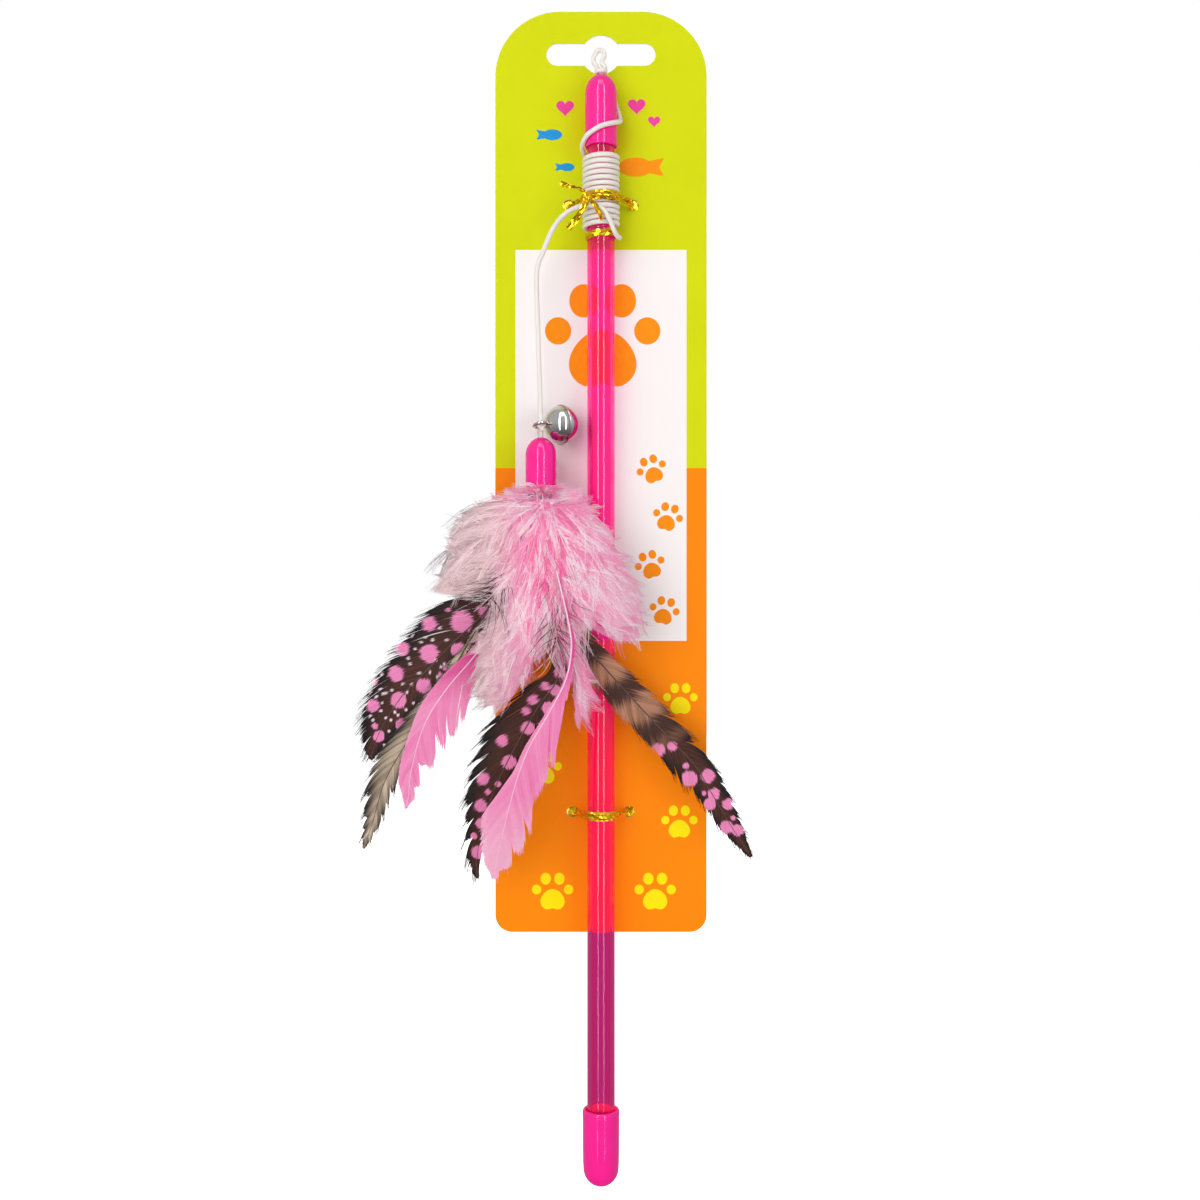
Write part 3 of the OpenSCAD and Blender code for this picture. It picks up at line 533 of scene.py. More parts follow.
# length, lean in degrees, width, then stations: along the length, spine to the side, left half, right half
feather_shapes = {
    "spotted_left": (88, 34, 22, [
        (0, 0, 0, 0), (0.15, 0.02, 0, 0), (0.28, 0.04, 0.22, 0.14), (0.4, 0.04, 0.38, 0.2), (0.53, 0.01, 0.55, 0.27),
        (0.65, -0.01, 0.52, 0.29), (0.76, -0.03, 0.46, 0.34), (0.87, -0.03, 0.36, 0.29), (0.94, -0.02, 0.24, 0.18),
        (1, 0, 0.02, 0.02)]),
    "grey_left": (111, 27.4, 13, [
        (0, 0, 0, 0), (0.3, 0, 0, 0), (0.5, -0.01, 0.15, 0.15), (0.62, -0.02, 0.3, 0.25), (0.74, -0.03, 0.4, 0.27),
        (0.83, -0.03, 0.4, 0.27), (0.93, -0.01, 0.22, 0.16), (1, 0, 0.02, 0.02)]),
    "pink_left": (95, 24, 15, [
        (0, 0, 0, 0), (0.2, 0.02, 0, 0), (0.38, 0.03, 0.06, 0.1), (0.5, 0, 0.15, 0.3), (0.6, -0.03, 0.22, 0.45),
        (0.7, -0.05, 0.24, 0.65), (0.79, -0.05, 0.22, 0.55), (0.9, -0.03, 0.24, 0.28), (0.96, -0.01, 0.14, 0.12),
        (1, 0, 0.02, 0.02)]),
    "spotted_middle": (108, 9.6, 16, [
        (0, 0, 0, 0), (0.18, 0.05, 0, 0), (0.33, 0.1, 0.05, 0.05), (0.44, 0.12, 0.2, 0.16), (0.52, 0.085, 0.4, 0.26),
        (0.64, 0.04, 0.65, 0.28), (0.76, 0.005, 0.54, 0.2), (0.86, -0.01, 0.36, 0.1), (0.95, -0.01, 0.18, 0.06),
        (1, 0, 0.02, 0.02)]),
    "pink_middle": (106, 7, 18, [
        (0, 0, 0, 0), (0.03, 0.01, 0, 0), (0.11, 0.046, 0, 0), (0.19, 0.074, 0, 0), (0.27, 0.104, 0, 0.03),
        (0.36, 0.13, 0, 0.05), (0.45, 0.126, 0.02, 0.08), (0.54, 0.094, 0.04, 0.22), (0.64, 0.052, 0.06, 0.48),
        (0.73, 0.03, 0.12, 0.42), (0.81, 0.018, 0.38, 0.4), (0.88, 0.01, 0.36, 0.42), (0.95, 0.003, 0.24, 0.24),
        (1, 0, 0.02, 0.02)]),
    "barred_right": (117, -30.9, 16, [
        (0, 0, 0, 0), (0.15, -0.04, 0, 0), (0.26, -0.07, 0.36, 0.12), (0.36, -0.078, 0.46, 0.2),
        (0.45, -0.064, 0.38, 0.26), (0.55, -0.044, 0.38, 0.33), (0.66, -0.02, 0.36, 0.32), (0.74, -0.003, 0.42, 0.28),
        (0.82, -0.003, 0.25, 0.3), (0.91, -0.003, 0.2, 0.2), (1, 0, 0.03, 0.03)]),
}
# How far the middle pink feather's spine comes forward over the fluff, in mm, along its length
forward = ([0, 0.03, 0.11, 0.2, 0.54, 0.64, 0.73, 0.81, 0.88, 0.95, 1],
           [0, 0.8, 7.0, 10.2, 10.2, 10.0, 9.4, 8.4, 7.4, 6.3, 5.6])


def spine_of(name, count=400):
    """Points of a spine, its tangents, the feather's side vectors, and the two half widths, all along its length."""
    length, lean, width, stations = feather_shapes[name]
    line = smooth(stations, 24)
    s = np.linspace(0, 1, count)
    along = line[:, 0]
    side, left, right = (np.interp(s, along, line[:, k]) for k in (1, 2, 3))
    a = math.radians(lean)
    down, across = np.array((-math.sin(a), 0, -math.cos(a))), np.array((math.cos(a), 0, -math.sin(a)))
    root = np.array((LURE_X, LAYER_Y[name], HINGE_Z))
    p = root + np.outer(s * length, down) + np.outer(side * length, across)
    if name == "pink_middle":
        p[:, 1] -= np.interp(s, *forward)
    t = np.gradient(p, axis=0)
    t /= np.linalg.norm(t, axis=1)[:, None]
    flat = np.cross(t, (0, 1, 0))
    flat *= np.sign(flat @ across)[:, None]
    flat /= np.linalg.norm(flat, axis=1)[:, None]
    return s, p, t, flat, np.maximum(left, 0) * width, np.maximum(right, 0) * width


# %% [markdown]
# ## Colours of the feathers
# The spots were dyed with the feather, so they are pink on dark brown, and they are painted across the barbs. Their
# places are given in the picture's own pixels, and one function turns a pixel to a point in a feather's layer.

# %% From the picture's pixels to a layer
SCALE = 0.2936  # mm to a pixel, at the card
MIDDLE_PX = 600  # the picture's middle, across and down


def place(px, py, y):
    """The x and z at which a pixel shows a point of the layer at y."""
    near = (y - CAMERA[1]) / -CAMERA[1]
    return CAMERA[0] + (px - MIDDLE_PX) * SCALE * near, CAMERA[2] - (py - MIDDLE_PX) * SCALE * near


spots = {  # across, down, radius in mm
    "spotted_left": [
        (462, 622, 3.1), (429, 624, 2.1), (402, 649, 2.0), (429, 653, 2.7), (458, 650, 2.1), (396, 674, 2.2),
        (424, 686, 2.1), (399, 700, 2.4), (373, 706, 1.8), (402, 725, 1.8), (379, 736, 1.7), (375, 726, 0.9),
        (374, 682, 0.9), (485, 612, 1.8), (480, 640, 1.6), (448, 610, 0.6), (446, 668, 0.9), (440, 675, 0.7)],
    "spotted_middle": [
        (528, 728, 1.9), (509, 762, 2.0), (502, 741, 1.6), (526, 711, 1.2), (533, 700, 1.5), (548, 708, 1.8),
        (483, 779, 1.7), (481, 806, 1.8), (480, 823, 1.4), (478, 852, 1.9), (474, 836, 0.9), (498, 784, 0.9),
        (555, 690, 1.6), (560, 672, 1.7), (545, 686, 1.2), (488, 792, 0.8)],
    "barred_right": [
        (658, 750, 1.9), (690, 779, 2.3), (708, 776, 2.0), (714, 794, 1.7), (710, 804, 1.7), (728, 804, 1.6),
        (727, 827, 1.9), (738, 830, 1.7), (672, 746, 1.4), (686, 766, 0.9), (704, 793, 0.7), (733, 818, 0.7)],
}
small_dots = [  # the fine white ones of the left spotted feather
    (408, 658), (419, 673), (412, 684), (403, 684), (387, 663), (382, 674), (383, 694), (386, 693), (380, 689),
    (382, 703), (381, 711), (386, 718), (391, 720), (389, 731), (406, 710), (413, 703), (419, 704), (398, 715),
    (373, 720), (370, 693), (444, 664), (441, 667), (437, 677), (421, 642), (425, 637), (415, 649), (433, 640),
    (390, 656), (394, 740), (400, 738), (384, 745), (409, 728), (413, 718), (370, 716), (436, 660), (410, 664),
    (392, 690), (407, 692), (430, 672), (447, 640), (440, 628), (412, 636), (376, 697), (395, 712)]
BROWN, BLACK, SPOT = lin("#4E2418"), lin("#150A08"), lin("#F88FC4")


def streaks(n, rng, every=7):
    """A slow change from barb to barb, 0 to 1: locks of barbs that differ a little in colour."""
    knots = rng.random(n // every + 3)
    return np.interp(np.arange(n) / every, np.arange(len(knots)), knots)[:, None, None]


def spotted(name, pts, share, rng):
    """Dark brown with pink spots; towards the barb's end it goes to black."""
    c = BROWN + (BLACK - BROWN) * np.clip((share - 0.35) * 2.2, 0, 1)[..., None]
    c = c * (0.5 + 1.0 * rng.random(pts.shape[:1])[:, None, None] ** 2)
    for px, py, r in spots[name]:
        x, z = place(px, py, LAYER_Y[name])
        far = np.hypot(pts[..., 0] - x, pts[..., 2] - z) / r + 0.3 * (streaks(len(pts), rng, 2)[..., 0] - 0.5)
        mix = np.clip((1.06 - far) * 8, 0, 1)[..., None]
        c = c + (SPOT * (0.86 + 0.2 * rng.random(pts.shape[:1])[:, None, None]) - c) * mix
    if name == "spotted_left":
        for px, py in small_dots:
            x, z = place(px, py, LAYER_Y[name])
            far = np.hypot(pts[..., 0] - x, pts[..., 2] - z) / 0.42
            c = c + (lin("#F7DDE9") - c) * np.clip((1.1 - far) * 5, 0, 1)[..., None]
    return c


def barred(name, pts, share, rng):
    """Brown and beige bars near the root, then dark with pink spots."""
    length, lean = feather_shapes[name][:2]
    a, n = math.radians(lean), len(pts)
    run = (pts - (LURE_X, 0, HINGE_Z)) @ np.array((-math.sin(a), 0, -math.cos(a))) / length
    bars = 0.5 + 0.5 * np.sin(2 * math.pi * (run * 8.2 + 0.06 * share + 0.15 + 0.12 * streaks(n, rng, 4)[..., 0]))
    bars = bars + 0.5 * (rng.random((n, 1)) - 0.5)
    beige = lin("#B67F62") * (0.6 + 0.5 * streaks(n, rng) + 0.2 * rng.random((n, 1, 1)))
    c = beige + (lin("#43231A") - beige) * np.clip(bars * 1.6 - 0.3, 0, 1)[..., None]
    c = c + (lin("#3A2018") - c) * (np.clip(share - 0.8, 0, 1) * 3 * rng.random((n, 1)))[..., None]
    dark = spotted(name, pts, share, rng)
    return c + (dark - c) * np.clip((run - 0.60) * 14, 0, 1)[..., None]


def plain_pink(name, pts, share, rng):
    """Pink that differs from lock to lock, deepest near the root and pale at the feather's end."""
    lock = 0.6 * streaks(len(pts), rng, 9) + 0.4 * rng.random((len(pts), 1, 1))
    c = lin("#F667B0") + (lin("#FFACD3") - lin("#F667B0")) * (0.1 + 0.8 * lock)
    c = c + (lin("#E4308F") - c) * np.clip((pts[..., 2:3] + 190) / 16, 0, 0.9)
    pale_end = np.clip((-pts[..., 2:3] - 214) / 26, 0, 0.6)
    return c + (lin("#FFC4DC") - c) * np.clip(share - 0.7, 0, 1)[..., None] + (lin("#FFC8DC") - c) * pale_end


def grey_brown(name, pts, share, rng):
    """Grey-brown locks that darken towards the barb's end."""
    lock = 0.7 * streaks(len(pts), rng) + 0.4 * rng.random((len(pts), 1, 1))
    c = lin("#DDC8B0") + (lin("#94806C") - lin("#DDC8B0")) * np.clip(lock * 1.8 - 0.4, 0, 1)
    return c + (lin("#2A2220") - c) * np.clip((share - 0.25) * 2.2 * (0.1 + 1.2 * lock[..., 0]), 0, 1)[..., None]


# %% [markdown]
# ## Laying the barbs
# The barbs are 0.22 mm apart, which is coarser than the real 0.15 mm and still reads as fine lines. Each one is
# walked step by step from the spine, turning towards the tip on its way, and stops where it meets the outline. Barbs
# cling together in locks: inside a lock they lean to its middle, so the splits open towards the edge. Some run on
# past the edge as fine hairs, and most of all at the feather's loose base. Where a pattern is painted on, a barb has
# a point for every 0.5 mm, so that the spots keep round edges. The three patterned feathers also let some of their
# own down lie loose over the front of the fluff.

# %% Feather maker
PITCH, STRIDE = 0.22, 0.25  # mm from barb to barb, and from step to step along one
MOST_STEPS = 110


def sample(at, s, points):
    """Points of a line at given places. s: the places of the line's own points."""
    return np.stack([np.interp(at, s, points[:, k]) for k in range(3)], 1)


def feather(name, slot, colour, seed, points, hairs, hair_reach, locks, cling, down=0, on=-1):
    """points: of each barb. hairs and cling: the share of barbs that run on as hairs, and how far a lock closes,
    left and right. down, on: how many barbs of the feather's own down lie loose over the fluff, and how far below
    the start of its vane they stand."""
    rng = np.random.default_rng(seed)
    length = feather_shapes[name][0]
    s, p, t, flat, left, right = spine_of(name)
    s = s * length
    u = np.linspace(0, 1, points)
    lines, widths, shares = [], [], []
    for sign, half, hairy in ((-1, left, hairs[0]), (1, right, hairs[1])):
        start = s[np.argmax(half > 0.3)]
        at = np.arange(start, length * 0.996, PITCH)
        # the locks: where each starts, which one a barb is in, and how far that one closes
        edges = start + np.cumsum(rng.uniform(0.6, 1.4, locks)) / locks * (length - start)
        which = np.searchsorted(edges[:-1], at)
        starts = np.concatenate([[start], edges[:-1]])
        long = np.diff(np.concatenate([starts, [length]]))[which]
        middle = starts[which] + long / 2
        close = (cling[sign > 0] * rng.uniform(0.5, 1.4, locks))[which]
        close = close * np.clip((length - at) / (0.16 * length), 0.15, 1)
        round_end = 1 - 0.5 * close * np.abs(at - middle) / long
        lift = rng.uniform(-0.12, 0.12, locks)[which]
        # all barbs walk out at once, each until it meets the outline
        lean = np.radians(42 - 24 * (at / length) ** 2 + rng.normal(size=len(at)))
        lean += np.radians(22) * np.exp(-(at - start) / 6) * rng.random(len(at))
        walk, out, live = at, np.zeros(len(at)), np.ones(len(at), bool)
        track = [(walk, out)]
        for _ in range(MOST_STEPS):
            share = out / np.maximum(np.interp(walk, s, half), 0.05)
            live &= (share < 1) & (walk < length)
            turn = lean * (1 - 0.4 * np.clip(share, 0, 1) ** 1.3)
            walk = walk + np.cos(turn) * STRIDE * live
            out = out + np.sin(turn) * STRIDE * live
            track.append((walk, out))
        track = np.array(track)
        ran = (np.diff(track[:, 1], axis=0) > 0).sum(0) * STRIDE
        steps = np.arange(len(track)) * STRIDE
        for i in range(len(at)):
            loose = math.exp(-(at[i] - start) / 7)
            extra = 0.0
            if rng.random() < hairy + 0.5 * loose:
                extra = hair_reach * (0.3 + 0.7 * rng.random()) * (1 + 1.2 * loose) * min(1, ran[i] / 5 + 0.25)
            reach = max(ran[i] * round_end[i] * rng.uniform(0.9, 1.0), 0.5)
            r = u * (reach + extra)
            # a hair runs straight on from the place where its barb would end
            past, end = np.clip(r - reach, 0, None), lean[i] * 0.6
            w, o = (np.where(past > 0, np.interp(reach, steps, path) + past * go, np.interp(r, steps, path))
                    for path, go in zip(track[:, :, i].T, (math.cos(end), math.sin(end))))
            w = w - (at[i] - middle[i]) * close[i] * (r / (reach + 1e-6)).clip(0, 1.2) ** 3.5
            line = sample(w, s, p) + np.clip(w - length, 0, None)[:, None] * t[-1]
            line += sample(w, s, flat) * (o * sign)[:, None]
            line[:, 1] += 0.012 * o ** 2 + lift[i] * u - 0.1 * u * rng.random()
            lines.append(line)
            taper = np.clip((reach * 1.04 - r) / (0.14 * reach), 0, 1)
            widths.append(PITCH * (1.6 - 0.5 * loose) * np.maximum(taper, 0.2) * (1 - 0.25 * u ** 3))
            shares.append(u)
    for _ in range(down):
        foot, sign = s[np.argmax(left > 0.3)] + rng.uniform(on, on + 11), rng.choice((-1, -1, 1))
        reach, bend = rng.uniform(6, 15), np.radians(rng.uniform(15, 80)) * (1 - 0.5 * u)
        w = foot + np.cumsum(np.cos(bend)) * reach / points
        o = sign * np.cumsum(np.sin(bend)) * reach / points
        line = sample(w, s, p) + sample(w, s, flat) * o[:, None]
        line[:, 1] = np.interp(u, [0, 0.5, 1], [-20, -23.3 + rng.uniform(0, 1.5), -21])
        lines.append(line)
        widths.append(0.2 * (1 - 0.8 * u))
        shares.append(0.3 + 0.7 * u)
    lines, widths, shares = np.array(lines), np.array(widths), np.array(shares)
    paint = colour(name, lines, shares, rng)
    if down:
        paint[-down::3] = lin("#E9DCDC")
    vane = barb_mesh(name + "_vane", lines, widths, np.array((0, -1.0, 0)), paint, ridge=0.3)
    thick = np.interp(s / length, [0, 0.3, 1], [0.28, 0.25, 0.07])  # the quill's radius in mm
    every = slice(None, None, 6)
    quill = tube_mesh(name + "_quill", [(p[every] + np.array((0, -0.06, 0)), thick[every])], 10)
    for ob in (vane, quill):
        set_on(ob, name, slot, name + "_feather")
    print(name, len(lines), "barbs,", triangles(vane), "triangles")
    return vane, quill


# %% Six feathers
makings = {  # slot, colours, seed, points, hairs, their reach in mm, locks, cling, loose down, and where it stands
    "spotted_left": ("spotted_feather", spotted, 11, 30, (0.6, 0.2), 3.6, 13, (0.2, 0.05), 70, 6),
    "grey_left": ("grey_feather", grey_brown, 12, 14, (0.6, 0.5), 3.2, 12, (0.4, 0.4)),
    "pink_left": ("pink_feather", plain_pink, 13, 14, (0.02, 0.2), 2.0, 7, (0.04, 0.5)),
    "barred_right": ("barred_feather", barred, 14, 26, (0.5, 0.5), 3.0, 12, (0.2, 0.25), 60),
    "spotted_middle": ("spotted_feather", spotted, 15, 26, (0.7, 0.2), 4.2, 11, (0.45, 0.05), 40),
    "pink_middle": ("pink_feather", plain_pink, 16, 14, (0.02, 0.15), 2.0, 9, (0.05, 0.4)),
}
feathers = {name: feather(name, *making) for name, making in makings.items()}

# %% [markdown]
# ## Fluff
# Marabou is the down of a big bird: short quills carry long soft barbs, and every barb has a fringe of barbules that
# makes it look hazy. Particle hair would grow it quickly, but it doesn't survive as a mesh with its own place. So the
# cloud's outline is measured in the picture, tufts of barbs are planted all over it, and each sweeps away from the
# middle and down, over a low dome that keeps in front of the feathers and the tube. Near the outline the barbs draw
# together into wisps. A third piece stands behind the feathers, and under the cap some tufts fill the space between.
# Light that comes through many dyed barbs is a deeper pink, so the barbs deep in the cloud are painted so, and its
# left side is paler.

# %% Outline of the cloud
CLOUD_Y = -17  # the layer that its outline is measured in
cloud = np.array([place(px, py, CLOUD_Y) for px, py in [
    (553, 495), (530, 495), (520, 485), (504, 486), (470, 505), (450, 522), (441, 545), (446, 556), (440, 575),
    (434, 590), (462, 598), (486, 601), (494, 614), (478, 634), (472, 650), (478, 668), (474, 690), (488, 708),
    (500, 716), (512, 704), (526, 692), (532, 676), (540, 656), (554, 642), (562, 654), (563, 690), (568, 740),
    (590, 716), (597, 690), (592, 662), (580, 636), (594, 630), (614, 642), (640, 646), (644, 618), (640, 590),
    (624, 560), (608, 526), (594, 508), (577, 487), (564, 484)]])
FROM, TO = (np.array(place(px, py, CLOUD_Y)) for px, py in ((542, 500), (550, 690)))  # the cloud's middle line
PALE, DEEP, HOT, ASH = lin("#FFF4F8"), lin("#FFAED4"), lin("#FF6EBA"), lin("#FAE6E4")
WISPS = 46  # round the whole outline
BARBULE = 0.03  # half the width of a barbule's foot, in mm
WISP_LENGTH = np.random.default_rng(5).uniform(-1.8, 4.0, WISPS + 2)  # how far each stays inside


def inside(points):
    """How deep the x, z points lie inside the cloud's outline, in mm; below zero outside."""
    hit = np.zeros(points.shape[:-1], bool)
    near = np.full(points.shape[:-1], 1e9)
    x, z = points[..., 0], points[..., 1]
    for a, b in zip(cloud, np.roll(cloud, -1, axis=0)):
        hit ^= ((b[1] > z) != (a[1] > z)) & (x < (a[0] - b[0]) * (z - b[1]) / (a[1] - b[1] + 1e-12) + b[0])
        run = b - a
        part = np.clip(((points - a) @ run) / (run @ run), 0, 1)[..., None]
        near = np.minimum(near, np.linalg.norm(points - a - part * run, axis=-1))
    return np.where(hit, near, -near)


def soft_normals(ob, core, radii):
    """Turns a tuft's shading normals outwards from its core, so that light falls on it as on one soft body."""
    co = np.empty(len(ob.data.vertices) * 3)
    ob.data.vertices.foreach_get("co", co)
    out = (co.reshape(-1, 3) - np.array(core) * MM) / np.array(radii) ** 2
    out /= np.linalg.norm(out, axis=1)[:, None]
    ob.data.normals_split_custom_set_from_vertices(out)


# %% Fluff maker


def fluff(name, node, seed, tufts, where, low, high):
    """Down in tufts. where: the least and greatest x of their roots. low, high: y at the cloud's edge and middle."""
    rng = np.random.default_rng(seed)
    behind = high > -10
    m, each, fringe = 7, 7, 4  # points to a barb, barbs to a tuft, and barbules to a barb
    root = rng.uniform(cloud.min(0), cloud.max(0), (tufts * 6, 2))
    root = root[(inside(root) > 2.5) & (root[:, 0] > where[0]) & (root[:, 0] < where[1])][:tufts]
    n, knot = len(root), len(root) // 14
    root[:knot] = FROM + rng.normal(0, 1, (knot, 2)) * (2.2, 1.6)
    # each tuft heads away from the middle line and down, and those close round the cap go any way
    droop = 16 - 9 * np.clip((-17 - root[:, 0]) / 10, 0, 1)
    along = np.clip((FROM[1] - root[:, 1] - droop) / (FROM[1] - TO[1]), 0, 1)[:, None]
    away = root - (FROM + (TO - FROM) * along)
    a = np.arctan2(away[:, 0], -away[:, 1]) + rng.normal(0, 0.38, n)
    a[:knot] = rng.uniform(-2.3, 2.3, knot)
    size = rng.uniform(8, 18, n)  # its length in mm
    u = np.linspace(0, 1, m)
    curl = rng.normal(0, 0.45, n)[:, None] * u + 0.10 * np.sin(u * 5 + rng.uniform(0, 6, n)[:, None])
    way = np.stack([np.sin(a[:, None] + curl), -np.cos(a[:, None] + curl) - 0.25 * u], 2)

    def grown(sizes):
        walk = np.cumsum(sizes[:, None, None] / (m - 1) * way[:, :-1], 1)
        return root[:, None] + np.concatenate([np.zeros((n, 1, 2)), walk], 1)

    # most tips stay inside the outline, so that the cloud thins towards its edge, and a few pass it
    tip = np.arctan2(*(grown(size)[:, -1] - FROM * 0.4 - TO * 0.6).T) / math.tau * WISPS
    keep = rng.uniform(-1.2, 3.0, n) + WISP_LENGTH[np.round(tip).astype(int)]
    keep = np.minimum(keep, 0.5 * inside(root)) - 4.0 * (rng.random(n) < 0.05)
    for _ in range(10):
        size = np.where(inside(grown(size)[:, -1]) < keep, size * 0.86, size)
    spines = grown(size)
    # a tuft's barbs part in its middle and meet again at its tip
    part = (0.2 + np.sin(math.pi * np.clip(u, 0, 0.93) ** 0.8))[None, None, :, None]
    off = rng.normal(0, 0.45, (n, each, 1, 2))
    reach = rng.uniform(0.7, 1.1, (n, each, 1, 1))
    flat = spines[:, None, :1] + (spines[:, None] - spines[:, None, :1]) * reach + off * part
    flat = (flat + np.cumsum(rng.normal(0, 0.07, (n, each, m, 2)), 2)).reshape(-1, m, 2)
    count = len(flat)
    # near the edge the barbs draw together into pointed wisps, with gaps between them
    middle = FROM * 0.4 + TO * 0.6
    spread = np.arctan2(*(flat - middle).T).T
    tuft_at = np.repeat(spread[:, -1].reshape(n, each).mean(1), each)
    wisp = tuft_at / math.tau * WISPS + 0.3 * np.sin(tuft_at * 9) + 0.3 * np.sin(tuft_at * 17 + 1)
    step = np.clip(tuft_at + (np.round(wisp) - wisp) * math.tau / WISPS - spread[:, -1], -0.25, 0.25)
    pull = -(np.clip(1 - inside(flat[:, -1]) / 7, 0, 1) * 0.8 * step)[:, None] * u ** 2
    x, z = (flat - middle).transpose(2, 0, 1)
    flat = middle + np.stack([x * np.cos(pull) - z * np.sin(pull), x * np.sin(pull) + z * np.cos(pull)], -1)
    # the dome: each tuft has its own layer between the cloud's edge and its front
    depth = np.clip(inside(flat) / 13, 0, 1)
    dome = np.sqrt(1 - (1 - depth) ** 2)
    layer = np.repeat(1 - 0.75 * rng.random(n) ** 1.3, each)[:, None] + rng.normal(0, 0.03, (count, m))
    # above the feathers and clear of the tube, the front and the back tufts close up at the cloud's edge
    meet = np.clip((flat[..., 1] + 158) / 14, 0, 1) * np.clip((-8 - flat[..., 0]) / 6, 0, 1)
    low = low + (-7.0 - low) * 0.8 * meet
    y = low + (high - low) * np.clip(dome * layer + 0.12 * u[None], 0, 1)
    # close under the cap and left of the tube, three tufts in ten fill the space round the quills
    inner = np.repeat(rng.random(n) < 0.3, each)[:, None] * np.clip((flat[..., 1] + 170) / 16, 0, 1)
    y += (np.repeat(rng.uniform(-14, -4, n), each)[:, None] - y) * inner * np.clip((-6.5 - flat[..., 0]) / 4, 0, 1)
    # all tufts leave the cap's mouth, and those that stand up pass in front of its rim or behind it
    x, z = flat[..., 0], flat[..., 1]
    far = np.hypot(x - LURE_X, np.minimum(z - HINGE_Z, 0))
    rim = np.maximum(y, -4.2) if behind else np.minimum(y, -15)
    opened = np.clip(far / 9 + (0.4 if behind else 0.6), 0, 1)
    y = np.where(z < HINGE_Z, LURE_Y + (y - LURE_Y) * opened, rim)
    if behind:  # short of the tube, so that the drop can swing in towards it
        x = np.minimum(x, -5.2 + 0.036 * (z - SWING[2]))
    lines = np.stack([x, y, z], 2)
    # a few broad pale barbs lie on top of many thin deep ones, which makes the wisps stand out. Besides each barb's
    # own random tone, one high in the dome is painted paler and one low in it a deeper pink: painted light and shade
    # for light that passes through many dyed barbs
    one_shade = rng.random((count, 1))
    bright = 1.7 * (np.repeat(rng.random(n), each)[:, None] - 0.55) + 0.9 * (one_shade - 0.5) + 0.2 * u
    pale = np.clip(0.25 + bright + 0.6 * (layer - 0.6), 0, 1)[..., None]
    widths = (0.10 + 0.09 * (one_shade > 0.7) + 0.06 * rng.random((count, 1))) * (1 - 0.8 * u ** 1.5)
    deep_middle_shade = np.exp(-((lines[..., 0] + 15.0) / 9) ** 2 - ((lines[..., 2] + 150) / 24) ** 2)[..., None]
    side = np.clip((-20 - lines[..., 0]) / 14, 0, 1)[..., None]
    c = DEEP + (PALE - DEEP) * pale
    c = c + (ASH * (0.66 + 0.4 * pale) - c) * 0.85 * side
    # painted shade: the cloud's middle is painted a deeper pink, for light that has passed through many barbs
    c = c + (HOT - c) * (0.25 + 0.75 * deep_middle_shade) * (1 - pale) * (1 - 0.8 * side)
    # barbules: a fringe of single needles on each barb
    pick = rng.integers(1, m - 1, (count, fringe))
    rows = np.arange(count)[:, None]
    start = lines[rows, pick] + (lines[rows, pick + 1] - lines[rows, pick]) * rng.random((count, fringe, 1))
    ahead = lines[rows, pick + 1] - lines[rows, pick]
    ahead /= np.linalg.norm(ahead, axis=2)[..., None] + 1e-9
    leaf = rng.normal(0, 1, (count, fringe, 3))
    leaf -= (leaf * ahead).sum(2)[..., None] * ahead
    leaf /= np.linalg.norm(leaf, axis=2)[..., None] + 1e-9
    tip = start + (leaf * 0.6 + ahead * 0.9) * rng.uniform(0.5, 1.5, (count, fringe, 1))
    front = np.array((0, 1.0, 0)) * (1 if behind else -1)
    across = np.cross(tip - start, front)
    across *= BARBULE / (np.linalg.norm(across, axis=2)[..., None] + 1e-9)
    needles = np.stack([start - across, start + across, tip], 2).reshape(-1, 3, 3)
    ob = barb_mesh(name, lines, widths, front, c, needles=(needles, c[rows, pick].reshape(-1, 3)))
    soft_normals(ob, (-16.5, -9.0, -150), (26, 13, 34))
    set_on(ob, "lure", "marabou", node)
    print(name, count, "barbs,", triangles(ob), "triangles")
    return ob


# %% Three pieces of fluff
TUFTS = 1500
down_left = fluff("down_left", "marabou_left", 21, TUFTS, (-60, -15.5), -14.4, -22.5)
down_right = fluff("down_right", "marabou_right", 22, TUFTS, (-18.5, 30), -14.4, -22.5)
down_back = fluff("down_back", "marabou_back", 23, TUFTS // 2, (-60, -9), -3.0, -1.2)

# %% [markdown]
# ## Foil ties
# The wand is held by strips of gold foil, pulled round it and through two holes in the card, and twisted in front.
# Foil shows sharp creases: its surface is a patchwork of small flat mirrors. So each strip is a grid of points along
# a path, every point is pushed a little off its place, and the faces stay flat-shaded. Solidify gives it a thickness.

# %% Foil strips
STRIP_STEP, STRIP_ACROSS = 0.8, 5  # mm from row to row of a strip's points, and points in a row
CRUMPLE = 0.16  # how far a point is pushed off its place, in mm


